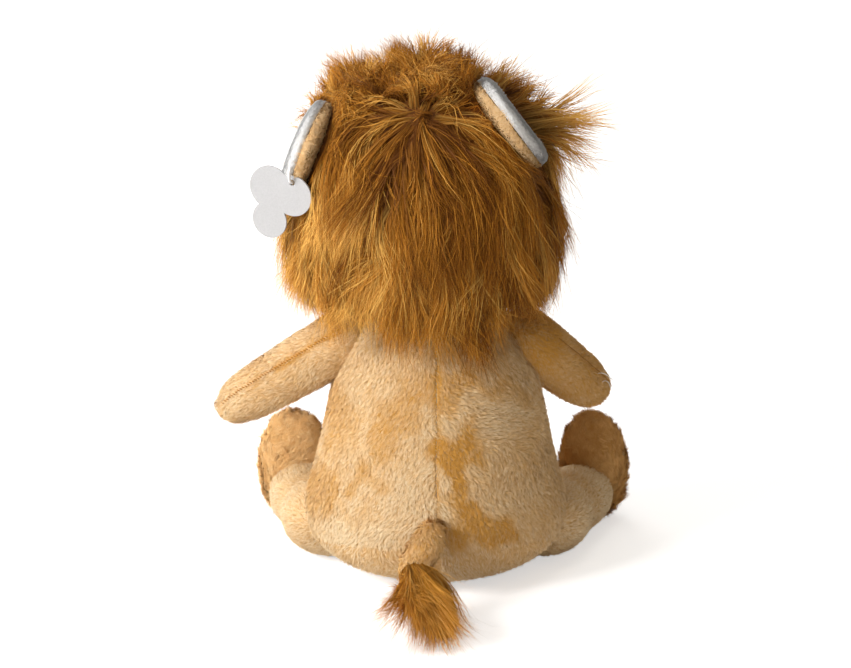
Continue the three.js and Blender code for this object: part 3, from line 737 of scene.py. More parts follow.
torso_bm = turned(
    TORSO_SHARES, TORSO_WIDTH - 2 * PILE, TORSO_DEPTH - 2 * PILE, TORSO_HEIGHT - 2 * PILE, PILE - 0.0005
)
for vertex in torso_bm.verts:  # the seat spreads a little under the weight
    low = math.exp(-(((vertex.co.z - 0.026) / 0.028) ** 2))
    vertex.co.x *= 1 + 0.12 * low
sliced(torso_bm, SITS_ON, capped=True)
torso = stuffed("torso_form", torso_bm, torso_seams, 0.0025)
torso_skin = skin_of(torso)

# Patches stroked the other way, with painted shade or painted light for how such nap takes the light: across,
# up, half width, half height in millimetres and strength
NAP_SHADE_SPOTS = [
    (-8, 64, 9, 18, -0.62), (-11, 40, 8, 12, -0.5), (-24, 24, 18, 11, -0.5), (-19, 66, 8, 7, -0.4),
    (20, 86, 14, 12, -0.3), (28, 70, 9, 9, -0.26), (34, 52, 10, 7, -0.3), (50, 82, 10, 18, -0.24),
    (62, 48, 8, 16, -0.3), (-6, 100, 24, 9, -0.34), (-40, 96, 12, 8, -0.22), (40, 28, 12, 5, -0.18),
]
NAP_LIGHT_SPOTS = [(16, 36, 22, 22, 0.2), (-34, 84, 18, 12, 0.12), (-42, 44, 20, 12, 0.1), (44, 20, 20, 12, 0.2)]


def torso_shade(places):
    """Paler low down; painted shade, golden where the nap is parted and deeper on the right, away from the
    lamp.
    """
    low = 0.14 * between(places[:, 2], 0.05, 0.01)
    # Painted shade: the right side, which the lamp doesn't reach, is deeper
    right = 0.10 * between(places[:, 0], 0.01, -0.05)
    return blots(places, NAP_SHADE_SPOTS) + blots(places, NAP_LIGHT_SPOTS) + 0.05 * wave(places, 0.02, 5) + low - right


def torso_comb(places, normals):
    """Brushed down and away from the middle, across in one band, and any way in the parted patches."""
    away = np.sign(places[:, 0]) * 0.35
    band = np.clip(blots(places, [(-42, 80, 30, 12, 1), (-20, 92, 16, 8, 0.7)]), 0, 1)
    turn = 0.8 * wave(places, 0.016, 8) * (np.abs(wave(places, 0.03, 9)) > 0.35)
    comb = np.stack([away - 1.4 * band + turn, 0 * away, -1 + 0.9 * band], 1)
    return laid(comb, normals)


# Distance to the torso's seams, where the pile gets painted shade for their crease
def back_furrow(places):
    seat = from_seat_seam(places) + 0.0012
    side = np.abs(places[:, 1])
    middle = np.where(places[:, 1] > 0, np.abs(places[:, 0] + 0.0005), 1)
    return np.minimum.reduce([middle, seat, side])


HALF = 0.0002
above_seat = (SEAT_POINT + SEAT_UP * HALF, -SEAT_UP)
panels = {
    "belly_panel": [above_seat, ((0, -HALF, 0), (0, 1, 0))],
    "back_panel_left": [above_seat, ((0, HALF, 0), (0, -1, 0)), ((HALF, 0, 0), (-1, 0, 0))],
    "back_panel_right": [above_seat, ((0, HALF, 0), (0, -1, 0)), ((-HALF, 0, 0), (1, 0, 0))],
    "seat_panel": [(SEAT_POINT - SEAT_UP * HALF, SEAT_UP)],
}
pile_counts = dict(zip(panels, (18000, 51000, 51000, 14000)))
for number, (name, planes) in enumerate(panels.items()):
    panel = cut(torso, name + "_fabric", planes, [TAN_BACKING])
    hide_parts(name)
    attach(panel, "torso")

    def on_panel(places, normals):
        kept = np.ones(len(places))
        for point, outward in planes:
            kept *= (places - np.array(point)) @ np.array(outward) < 0
        return kept * (places[:, 2] > 0.0025) * (places[:, 2] < 0.150)

    grow_pile(
        name + "_pile", torso_skin, pile_counts[name], torso_comb, 0.0027, "torso", TAN_PILE,
        100 + number, shade=torso_shade, wanted=on_panel, furrow=back_furrow, size=0.0012, width=0.00045,
    )
torso_tree = tree_of(torso)
bpy.data.objects.remove(torso)

# %% [markdown]
# The filling and the pellet bag stay inside the skins as the solids that they are. They only need a
# finish.

# %% Hidden filling
PELLETS = varied_material("pellet_plastic", "Voronoi", 350, [220] * 3, [150] * 3, 0.5, reach=0.6)


def refinish(node, material):
    """Gives a solid that is kept as it is a better material."""
    mesh = frame["nodes"][node].data
    mesh.materials.clear()
    mesh.materials.append(material)


for node in frame["nodes"]:
    if node.endswith("stuffing") and "leg" not in node:
        refinish(node, FILLING)
refinish("pellet_bag", PELLETS)
print("the filling and the pellet bag have their finish")

# %% [markdown]
# Arms and legs are bags of the same plush, each with one lengthwise seam. The feet stand up at the ends of
# the legs, with longer, fluffier pile and a white sole.

# %% Arms
ARM_WIDTH, ARM_LENGTH = 0.037, 0.086
ARM_ALONG = {"left": (0.85, 0, -0.53), "right": (-0.52, -0.59, -0.62)}
SEAM_SIDE = Vector((0, 0.75, 0.66))  # the seam faces up and back, where the camera sees it
STITCHES = 44


def limb_comb(along):
    """Brushed from the root to the tip, with a little turning."""
    along = np.array(along)

    def comb(places, normals):
        turn = 0.5 * wave(places, 0.014, 18)[:, None] * np.cross(normals, along)
        return laid(along + turn, normals)

    return comb


for number, (side, along) in enumerate(ARM_ALONG.items()):
    centre = joint_at[side + "_arm"]
    along = Vector(along).normalized()
    place = Matrix.Translation(centre) @ Vector((0, 0, 1)).rotation_difference(along).to_matrix().to_4x4()
    seam_normal = unit(np.array(along.cross(SEAM_SIDE)))
    seam_side = np.array(SEAM_SIDE)
    origin, reach = np.array(centre), np.array(along)

    def arm_seam(places):
        off = np.abs((places - origin) @ seam_normal)
        return np.where((places - origin) @ seam_side > 0, off, 1)

    def held(places):
        return np.maximum(1 - between(arm_seam(places), 0.0008, 0.003), 1.0 * ((places - origin) @ reach < 0))

    form = moved(limb(ARM_SHARES, ARM_WIDTH, ARM_LENGTH, PILE), place)
    skin = stuffed(side + "_arm_fabric", form, held, 0.0022)
    skin.data.materials.append(TAN_BACKING)
    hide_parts(side + "_arm_skin")
    arm_skin = skin_of(skin)

    def arm_shade(places):
        far, off = (places - origin) @ reach, arm_seam(places)
        # Painted shade: darker along the seam's furrow and towards the shoulder, where the arm meets the body
        patches = 0.08 * wave(places, 0.015, 27) - 0.3 * between(off, 0.0035, 0.001)
        # Painted shade: the right arm, away from the lamp, is darker all over and beside its seam near the
        # shoulder
        if side == "right":
            patches = patches - 0.40 - 0.12 * between(off, 0.012, 0.004) * (far < 0.05)
        return patches - 0.12 * between(far, 0.02, 0.0)

    grow_pile(
        side + "_arm_pile", arm_skin, 26000, limb_comb(along), 0.0027, side + "_arm",
        TAN_PILE, 120 + number, shade=arm_shade, furrow=arm_seam, size=0.0012, width=0.00047,
    )
    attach(skin, side + "_arm")

    # The stitches that show as ticks in the furrow, from the shoulder to the paw
    arm_tree = tree_of(skin)
    look = unit(seam_side - reach * (seam_side @ reach))
    found = [
        arm_tree.ray_cast(Vector(origin + reach * far + look * 0.05), Vector(-look))
        for far in np.linspace(0.006, 0.074, STITCHES)
    ]
    places, outwards = (np.array([hit[k] for hit in found if hit[0] is not None]) for k in (0, 1))
    slant = unit(seam_normal + 0.7 * reach)
    lifted = places + outwards * 0.0021
    ends = np.stack([lifted - slant * 0.0010, lifted + outwards * 0.0004, lifted + slant * 0.0010], 1)
    ribbons(
        side + "_arm_stitches", ends, np.full(len(places), 0.0006), outwards, np.full(len(places), 0.45),
        MANE_HAIR, side + "_arm", 0.8, 4,
    )

# %% [markdown]
# Each leg lies on the floor with its thigh against the seat. The thigh leans back and shows a few creases
# at the hip. The foot stands up at its end, and a plane cuts it into the foot's skin and the sole.

# %% Legs and feet
LEG_WIDTH, LEG_LENGTH = 0.048, 0.071
SPLAYS = {"left": 20.5, "right": 29}
FOOT_REACH, FOOT_HEIGHT = 0.065, 0.065
FOOT_WIDTH, FOOT_THICKNESS = 0.042, 0.032
for number, (side, sign) in enumerate({"left": 1, "right": -1}.items()):
    hip = joint_at[side + "_leg"]
    turn = Matrix.Translation(hip) @ Matrix.Rotation(math.radians(sign * SPLAYS[side]), 4, "Z")
    along = turn.to_3x3() @ Vector((0, -1, 0))
    flat = Matrix.Rotation(math.radians(90), 4, "X")
    leg_bm = moved(limb(LEG_SHARES, LEG_WIDTH, LEG_LENGTH, PILE), turn @ flat)
    origin, reach = np.array(hip), np.array(along)

    def hip_folds(places):
        """The creases that a bent, stuffed thigh shows round the hip."""
        far = (places - origin) @ reach
        return np.sin(far / 0.0058 + 0.8) * between(far, -0.004, 0.004) * between(far, 0.045, 0.022)

    for vertex in leg_bm.verts:
        place = np.array(vertex.co)[None]
        lower = 1 - 0.7 * float(between(place[:, 2], 0.028, 0.05)[0])
        far = float((place[0] - origin) @ reach)
        near_hip = math.exp(-(((far - 0.002) / 0.020) ** 2))
        vertex.co += vertex.normal * (float(hip_folds(place)[0]) * 0.0011 + 0.003 * near_hip) * lower
        # A sitting thigh leans: above it is nearly flush with the back, below it lies further forward
        wide = math.exp(-((far / 0.045) ** 2))
        vertex.co.y += (vertex.co.z - 0.018) * 0.5 * wide
        beyond_hip = float(between(np.array([far]), 0.005, 0.035)[0])
        vertex.co.z -= 0.007 * beyond_hip * max(0.0, vertex.co.z / 0.048)
        vertex.co.y += 0.006 * near_hip * max(0.0, vertex.normal.y)
    sliced(leg_bm, SITS_ON, capped=True)

    def held(places):
        return np.maximum(1.0 * (places[:, 2] < 0.006), 0.8 * between(hip_folds(places), -0.2, -0.9))

    skin = stuffed(side + "_leg_fabric", leg_bm, held, 0.0018)
    skin.data.materials.append(TAN_BACKING)
    # The filling takes the shape of its skin
    bm = bmesh.new()
    bm.from_mesh(skin.data)
    bm.normal_update()
    for vertex in bm.verts:
        vertex.co -= vertex.normal * 0.0035
    filling = object_of(side + "_leg_filling", bm, FILLING)
    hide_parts(side + "_leg_stuffing")
    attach(filling, side + "_leg")
    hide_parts(side + "_leg_skin")
    leg_skin = skin_of(skin)

    def leg_shade(places):
        # Painted shade in the hip creases
        crease_shade = 0.14 * between(hip_folds(places), 0.2, -0.9)
        return 0.05 * wave(places, 0.02, 31) - crease_shade + 0.02 + 0.2 * between(places[:, 2], 0.046, 0.02)

    grow_pile(
        side + "_leg_pile", leg_skin, 29000, limb_comb(along), 0.0027, side + "_leg",
        TAN_PILE, 130 + number, shade=leg_shade, size=0.0012, width=0.00047,
        wanted=lambda places, normals: 1.0 * (places[:, 2] > 0.0022),
    )
    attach(skin, side + "_leg")

    foot_bm = turned(
        FOOT_SHARES, FOOT_WIDTH - 2 * PILE, FOOT_THICKNESS - 2 * PILE, FOOT_HEIGHT - 2 * PILE, 0, 32, 24
    )
    foot_place = turn @ Matrix.Translation((0, -FOOT_REACH, PILE - 0.0005 - hip.z))
    moved(foot_bm, foot_place)
    foot_middle = foot_place @ Vector((0, 0, FOOT_HEIGHT / 2))
    foot = stuffed(side + "_foot_form", foot_bm, lambda places: 1.0 * (places[:, 2] < 0.006), 0.0015)
    sole_plane = foot_middle + along * 0.0095
    foot_fabric = cut(foot, side + "_foot_fabric", [(sole_plane, along)], [TAN_BACKING])
    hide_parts(side + "_foot_skin")
    sole = cut(foot, side + "_foot_sole_fabric", [(sole_plane + along * 0.0003, -along)], [WHITE_BACKING])
    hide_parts(side + "_foot_sole")
    foot_skin = skin_of(foot)
    for piece, slot in ((foot_fabric, "fuzzy_tan_plush"), (sole, "white_plush")):
        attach(piece, side + "_leg")
    plane, outward = np.array(sole_plane), np.array(along)

    def before_sole(places, normals):
        return 1.0 * ((places - plane) @ outward < 0) * (places[:, 2] > 0.002)

    def on_sole(places, normals):
        return 1.0 * ((places - plane) @ outward >= 0) * (places[:, 2] > 0.002)

    def up_and_round(places, normals):
        return laid(np.array((0, 0, 0.8)) - 0.5 * reach + 0.35 * waves(places, 0.01, 41), normals)

    in_shade = 0.0 if side == "left" else 0.4
    grow_pile(
        side + "_foot_pile", foot_skin, 28000, up_and_round, 0.0056, side + "_leg",
        FOOT_PILE, 140 + number, lift=0.42, wanted=before_sole, size=0.0015, messy=0.3, lit=(0, 0.9, 0.5),
        width=0.00054, shade=lambda places: 0.10 * wave(places, 0.012, 47) - in_shade,
    )
    grow_pile(
        side + "_sole_pile", foot_skin, 7000, up_and_round, 0.0026, side + "_leg", WHITE_PILE,
        150 + number, wanted=on_sole, size=0.0016,
    )
    bpy.data.objects.remove(foot)
print("torso and limbs done")

# %% [markdown]
# The head is a rounded bag whose seam runs over the crown from ear to ear. The face has short tan plush,
# and behind the seam the backing of the mane shows between its roots. The photograph shows only the back,
# so the face is a plain friendly one: a white muzzle, a stitched nose, a mouth line and two glossy eyes.

# %% Head
HEAD_WIDTH, HEAD_DEPTH, HEAD_LENGTH, HEAD_LOW = 0.114, 0.108, 0.136, -0.016
CROWN_SEAM = 0.002


def head_seams(places):
    crown = 1 - between(np.abs(places[:, 1] - CROWN_SEAM), 0.001, 0.004)
    return np.maximum(crown, 1.0 * (places[:, 2] < 0.152))


head_bm = turned(
    HEAD_SHARES, HEAD_WIDTH - 2 * PILE, HEAD_DEPTH - 2 * PILE, HEAD_LENGTH - 2 * PILE, HEAD_LOW + PILE
)
moved(head_bm, LEAN)
head = stuffed("head_form", head_bm, head_seams, 0.002)
head_skin = skin_of(head)
neck_edge = ((0, 0, 0.1485), (0, 0, -1))
face = cut(head, "face_fabric", [((0, CROWN_SEAM - HALF, 0), (0, 1, 0)), neck_edge], [TAN_BACKING])
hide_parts("face_panel")
scalp = cut(head, "scalp_fabric", [((0, CROWN_SEAM + HALF, 0), (0, -1, 0)), neck_edge], [MANE_BACKING])
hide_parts("head_back_panel")
for piece, slot in ((face, "tan_plush"), (scalp, "mane_pile")):
    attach(piece, "head")
bpy.data.objects.remove(head)

FACE_MIDDLE = LEAN @ Vector((0, 0, 0.054))


def face_comb(places, normals):
    """Brushed away from the nose."""
    flow = places - np.array(LEAN @ Vector((0, -0.06, 0.045)))
    return laid(flow + 0.01 * waves(places, 0.012, 51), normals)


grow_pile(
    "face_pile", head_skin, 26000, face_comb, 0.0036, "head", TAN_PILE, 160,
    wanted=lambda places, normals: 1.0 * (places[:, 1] < -0.012) * (places[:, 2] > 0.150),
    shade=lambda places: 0.05 * wave(places, 0.02, 55),
)

# %% [markdown]
# The muzzle is a white pad of two cheeks with a dip between them. The nose is a small fabric pad above it,
# and the mouth is two lines of dark stitches.

# %% Muzzle, nose and mouth
MUZZLE_MIDDLE = Vector((0, 0.010 - 0.054, 0.038))


def two_cheeks(place):
    dip = math.exp(-((place.x / 0.16) ** 2)) * max(0, -place.z * 0.8 + 0.35)
    place.y *= 1 - 0.10 * dip


def pointed_below(place):
    place.x *= 0.72 + 0.38 * (place.z + 1) / 2


bm = ball((0.0255, 0.0205, 0.0185), 32, 20, two_cheeks)
bmesh.ops.translate(bm, vec=MUZZLE_MIDDLE, verts=bm.verts)
moved(bm, LEAN)
muzzle = object_of("muzzle_fabric", bm, WHITE_BACKING)
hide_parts("muzzle")
muzzle_skin = skin_of(muzzle)
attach(muzzle, "head")
# The pile is short and painted dark in the dip between the cheeks, for the shade there
grow_pile(
    "muzzle_pile", muzzle_skin, 9000, face_comb, 0.0026, "head", WHITE_PILE, 161, size=0.0016,
    wanted=lambda places, normals: 1.0 * (places[:, 1] < -0.045),
    furrow=lambda places: np.abs((places - np.array(NECK)) @ np.array(LEAN.to_3x3().col[0])) + 0.0012,
)

NOSE_FABRIC = cloth_material("nose_weave", (44, 26, 18), (70, 44, 30), 900, 0.6, 0.4)
bm = ball((0.0092, 0.0062, 0.0064), 28, 18, pointed_below)
bmesh.ops.translate(bm, vec=(0, -0.062, 0.049), verts=bm.verts)
moved(bm, LEAN)
nose = object_of("nose_pad", bm, NOSE_FABRIC)
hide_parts("nose")
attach(nose, "head")

THREAD = varied_material("dark_thread", "Wave", 900, (38, 22, 14), (84, 54, 36), 0.6)


def strand_tube(name, places, radius, material, closed=False, sides=2, steps=6):
    """A round thread along a smooth line, as a mesh."""
    data = bpy.data.curves.new(name, "CURVE")
    data.dimensions = "3D"
    data.bevel_depth = radius
    data.bevel_resolution = sides
    data.use_fill_caps = True
    data.resolution_u = steps
    line = data.splines.new("BEZIER")
    line.use_cyclic_u = closed
    line.bezier_points.add(len(places) - 1)
    for point, place in zip(line.bezier_points, places):
        point.co = place
        point.handle_left_type = point.handle_right_type = "AUTO"
    curve = bpy.data.objects.new(name, data)
    scene.collection.objects.link(curve)
    mesh = bpy.data.meshes.new_from_object(curve.evaluated_get(bpy.context.evaluated_depsgraph_get()))
    bpy.data.objects.remove(curve)
    mesh.materials.append(material)
    made = bpy.data.objects.new(name, mesh)
    scene.collection.objects.link(made)
    return made


def muzzle_front(x, z):
    """A point on the front of the muzzle, at its place before the head leans."""
    inside = 1 - (x / 0.0262) ** 2 - ((z - MUZZLE_MIDDLE.z) / 0.0192) ** 2
    return LEAN @ Vector((x, MUZZLE_MIDDLE.y - 0.0222 * math.sqrt(max(inside, 0.01)), z))


mouth = [muzzle_front(0, z) for z in np.linspace(0.044, 0.031, 4)]
smile = [muzzle_front(x, 0.0285 + 0.0028 * (abs(x) / 0.009) ** 2) for x in np.linspace(-0.011, 0.011, 9)]
for name, line in (("mouth_stitch_upright", mouth), ("mouth_stitch_across", smile)):
    stitch = strand_tube(name, line, 0.0006, THREAD)
    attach(stitch, "head")
print("muzzle, nose and mouth done")

# %% [markdown]
# A safety eye is a dome on a short shank that goes through the fabric. It sits on the head's outline and
# looks straight out of it. The washer inside the face keeps its solid, in milky plastic.

# %% Eyes
EYE_GLOSS = varied_material("eye_gloss", "Noise", 60, (14, 9, 7), (30, 20, 15), 0.08, 0.25)
EYE_HEIGHT, EYE_SPACING = 0.064, 0.040
DOME = [(0.006 * math.sin(a), 0.004 * math.cos(a)) for a in np.radians(range(12, 91, 6))]
SHANK = [(0.0058, -0.0006), (0.002, -0.0008), (0.002, -0.0115), (0.0, -0.0118)]
share = np.interp((EYE_HEIGHT - HEAD_LOW) / HEAD_LENGTH, *np.array(HEAD_SHARES).T)
wide, deep = HEAD_WIDTH / 2 * share, HEAD_DEPTH / 2 * share
for side, sign in {"left": 1, "right": -1}.items():
    x = sign * EYE_SPACING / 2
    y = -deep * math.sqrt(1 - (x / wide) ** 2)
    outward = Vector((x / wide**2, y / deep**2, 0)).normalized()
    bm = spun([(0.0, 0.0040)] + DOME + SHANK, 32, 1e-6)
    bmesh.ops.recalc_face_normals(bm, faces=bm.faces)
    place = Matrix.Translation(Vector((x, y, EYE_HEIGHT)) - outward * 0.0015)
    moved(bm, LEAN @ place @ Vector((0, 0, 1)).rotation_difference(outward).to_matrix().to_4x4())
    eye = object_of(side + "_eye_dome", bm, EYE_GLOSS)
    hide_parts(side + "_eye")
    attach(eye, "head")

PLASTIC = varied_material("milky_plastic", "Noise", 200, (212, 211, 212), (240, 240, 242), 0.35, 0.4)
for side in ("left", "right"):
    refinish(side + "_eye_washer", PLASTIC)

# %% [markdown]
# Ears. Each is a flat padded flap with a tan back and a white lining, sewn into the mane at an angle, so
# from behind one is seen edge-on. A squashed sphere is cut in two along its rim, and each half becomes a
# padded side.

# %% Ears
EAR_WIDTH, EAR_HEIGHT, EAR_THICKNESS = 0.056, 0.044, 0.0165
EAR_OUT = (0, 0.94, 0.342)
EAR_SEAM = (0.47, 0, -0.883)
EAR_PLACE = (0.054, 0.002, 0.101)  # on the upright head
ear_places = []


def blunted(place):
    """Gives the rim a round edge instead of a lens's sharp one."""
    place.y = math.copysign(abs(place.y) ** 0.4, place.y)


for number, (side, sign) in enumerate({"left": 1, "right": -1}.items()):
    out = Vector((sign * EAR_OUT[0], EAR_OUT[1], EAR_OUT[2])).normalized()
    seam = Vector((sign * EAR_SEAM[0], EAR_SEAM[1], EAR_SEAM[2]))
    lining_way = (seam.cross(out) * sign).normalized()
    across = lining_way.cross(out)
    basis = Matrix((across, lining_way, out)).transposed().to_4x4()
    place = LEAN @ Matrix.Translation((sign * EAR_PLACE[0], EAR_PLACE[1], EAR_PLACE[2])) @ basis
    ear_places.append(place)
    for facing, part in ((1, "lining"), (-1, "back")):
        lip = 0.001 if facing < 0 else 0.0006
        bm = ball((EAR_WIDTH / 2 - lip, EAR_THICKNESS / 2 - lip, EAR_HEIGHT - lip), 48, 32, blunted)
        sliced(bm, ((0, 0, -0.008), (0, 0, -1)), ((0, facing * HALF, 0), (0, -facing, 0)), capped=True)
        bmesh.ops.recalc_face_normals(bm, faces=bm.faces)
        if facing > 0:  # the lining is a shallow dish inside the rim
            for vertex in bm.verts:
                reach = (vertex.co.x / (EAR_WIDTH / 2)) ** 2 + (vertex.co.z / EAR_HEIGHT) ** 2
                if vertex.co.y > 0.0008:
                    vertex.co.y -= 0.0022 * max(0.0, 1 - reach * 1.8)
        moved(bm, place)
        fabric = TAN_BACKING if facing < 0 else WHITE_BACKING
        ear = object_of(side + "_ear_" + part + "_fabric", bm, fabric)
        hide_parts(side + "_ear_" + part)
        slot = "tan_plush" if facing < 0 else "white_plush"
        ear_skin = skin_of(ear)
        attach(ear, "head")
        way = np.array((place.to_3x3() @ Vector((0, facing, 0))))
        rim = np.array(place.to_3x3() @ Vector((0, 0, 1)))
        origin = np.array(place.translation)

        def outer_face(places, normals):
            return 1.0 * ((places - origin) @ way > 0.0004) * (normals @ way > -0.5)

        def to_rim(places, normals):
            return rim - normals * (normals @ rim)[:, None] + 0 * places

        if facing < 0:
            grow_pile(
                side + "_ear_back_pile", ear_skin, 15000, to_rim, 0.0032, "head", TAN_PILE,
                170 + number, wanted=outer_face, size=0.0009, width=0.00055, messy=0.15, draw=0.15, lift=0.35,
                shade=lambda places: -0.08 + 0.08 * wave(places, 0.008, 61), lit=(0.3, 1.2, 0.6),
            )
        else:
            grow_pile(
                side + "_ear_lining_pile", ear_skin, 12000, to_rim, 0.0015, "head", WHITE_PILE,
                180 + number, wanted=outer_face, size=0.0009, width=0.0006, messy=0.12, draw=0.1,
            )
print("head done")

# %% [markdown]
# The mane. Underneath lies a felt-like underfur, a form a little smaller than the bulk of the hair, so
# that no bare scalp shows. Hair grows from it in two steps, first guide hairs and then the hairs that
# follow them.

# %% Underfur
MANE_WIDTH, MANE_DEPTH, MANE_LENGTH, MANE_LOW = 0.150, 0.134, 0.156, -0.014
UNDER = 0.0065  # how far the underfur lies inside the bulk of the hair
bm = turned(
    MANE_SHARES, MANE_WIDTH - 2 * UNDER, MANE_DEPTH - 2 * UNDER, MANE_LENGTH - 2 * UNDER,
    MANE_LOW + UNDER, 64, 40,
)
moved(bm, LEAN)
FRONT = -0.040
sliced(bm, ((0, FRONT, 0), (0, -1, 0)))
rim = [e for e in bm.edges if e.is_boundary]
for depth, wide, high in ((FRONT - 0.002, 0.050, 0.053), (FRONT + 0.008, 0.044, 0.047)):
    grown = bmesh.ops.extrude_edge_only(bm, edges=rim)["geom"]
    rim = [e for e in grown if isinstance(e, bmesh.types.BMEdge)]
    for vertex in {v for e in rim for v in e.verts}:
        round_face = Vector((vertex.co.x - FACE_MIDDLE.x, 0, vertex.co.z - FACE_MIDDLE.z)).normalized()
        vertex.co = (FACE_MIDDLE.x + round_face.x * wide, depth, FACE_MIDDLE.z + round_face.z * high)
sliced(bm, ((0, 0, 0.166), (0, 0, -1)))
bmesh.ops.recalc_face_normals(bm, faces=bm.faces)
underfur = object_of("underfur_form", bm)
mid = skin_of(underfur)
outward_share = float(((mid[0].mean(1) - mid[0].mean((0, 1))) * mid[1].mean(1)).sum(1).mean())
if outward_share < 0:
    underfur.data.flip_normals()
under_skin = skin_of(underfur)
for name, node, point, outward in (
    ("underfur_back", "mane_back", (0, CROWN_SEAM + HALF, 0), (0, -1, 0)),
    ("underfur_ruff", "mane_ruff", (0, CROWN_SEAM - HALF, 0), (0, 1, 0)),
):
    part = cut(underfur, name, [(point, outward)], [MANE_BACKING], 0.0015)
    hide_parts(node)
    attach(part, "head")
under_tree = tree_of(underfur)
bpy.data.objects.remove(underfur)
print("underfur done")

# %% [markdown]
# The rules that guide hairs keep to. They slide over the underfur and the shoulders, part round the ears,
# end at the hem and stay within the sides of the mane as the photograph shows them.

# %% Rules for guide hairs
WHORL = np.array((0.0097, 0.036, 0.273))
STEPS = 8
SHOULDER_TOP = 0.175  # below this height the hair may lie on the shoulders
HEM, LOCK_DROP = 0.152, 0.032


def kept_close(places, under, over, loose):
    """Lifts places out of the underfur and the shoulders, and draws in those far off the underfur."""
    found = places.copy()
    for index, place in enumerate(places):
        spot = Vector(place)
        near, normal, _, _ = under_tree.find_nearest(spot)
        off = (spot - near).dot(normal)
        if off < under:
            spot = near + normal * under
        elif off > over:
            spot -= normal * (off - over) * (1 - loose[index])
        if spot.z < SHOULDER_TOP:
            near, normal, _, _ = torso_tree.find_nearest(spot)
            if (spot - near).dot(normal) < under + 0.002:
                spot = near + normal * (under + 0.002)
        found[index] = spot
    return found


def in_long_lock(places):
    """1 in the middle of the one lock that hangs lower than the rest, and 0 beside it."""
    return np.exp(-(((places[:, 0] + 0.008) / 0.026) ** 4))


def hem_height(places):
    """How low the hair hangs: to the shoulders, a little lower behind, and lowest in one lock."""
    lock = in_long_lock(places) * between(places[:, 1], 0.02, 0.045)
    behind = between(places[:, 1], 0.02, 0.055)
    return HEM - 0.002 * behind - LOCK_DROP * lock + 0.008 * wave(places * (1, 1, 0), 0.006, 209)


def from_face(places):
    """The way out from the middle of the face, seen from the front."""
    away = places - np.array(FACE_MIDDLE)
    away[:, 1] = 0
    return unit(away)


def over_an_ear(paths, grown=1.0):
    """Which points of the hairs lie in an ear, or hang before it as seen from behind."""
    away = -np.array(towards_camera)
    hit = np.zeros(paths.shape[:2], bool)
    for place in ear_places:
        to_ear = np.array(place.inverted())
        size = np.array((EAR_WIDTH / 2, EAR_THICKNESS / 2, EAR_HEIGHT)) * grown
        local = (paths @ to_ear[:3, :3].T + to_ear[:3, 3]) / size
        way = (to_ear[:3, :3] @ away) / size
        a, b, c = way @ way, local @ way, (local**2).sum(-1) - 1
        room = b**2 - a * c
        hit |= (room > 0) & (-b + np.sqrt(np.maximum(room, 0)) > 0) & (local[..., 2] > -0.12)
    return hit


# Where the crown hair stands up in tufts: across in millimetres, half width and how much longer it is there
CROWN_PEAKS = [(60, 5, 0.3), (46, 5, 1.0), (30, 3, 0.3), (5, 4, 1.2), (-14, 3, 0.4), (-34, 5, 1.1)]

# How far out the hair may stand on either side, as seen from behind: height, left and right in millimetres
SIDES = np.array([
    (150, 79, -62), (178, 80, -66), (188, 80, -66), (197, 72, -64), (207, 70, -62), (217, 72, -62),
    (226, 72, -63), (236, 70, -70), (246, 65, -90), (256, 62, -90), (265, 57, -90), (275, 51, -90),
])


def within_sides(spots, strength):
    """Draws in what stands out beyond the sides of the mane."""
    across, up = seen_from_behind(spots).T
    left, right = (np.interp(up, SIDES[:, 0], SIDES[:, k]) for k in (1, 2))
    beyond = np.maximum(across - left, 0) + np.minimum(across - right, 0)
    spots[:, 0] -= beyond * 0.00075 * strength
    return spots

# %% [markdown]
# Some two thousand guide hairs grow step by step. Each starts along the nap, bends down under its own
# weight and slides over whatever it lies on. On the crown they stand up in tufts, and beside the right ear
# in a horn.

# %% Guide hairs
GUIDE_LENGTH, HORN_LENGTH = 0.054, 0.055
HORN_PLACE = (-54, 244, 14, 17)  # across and up as seen from behind, and half its width and height
HORN_WAY = (-0.95, 0.05, 0.16)


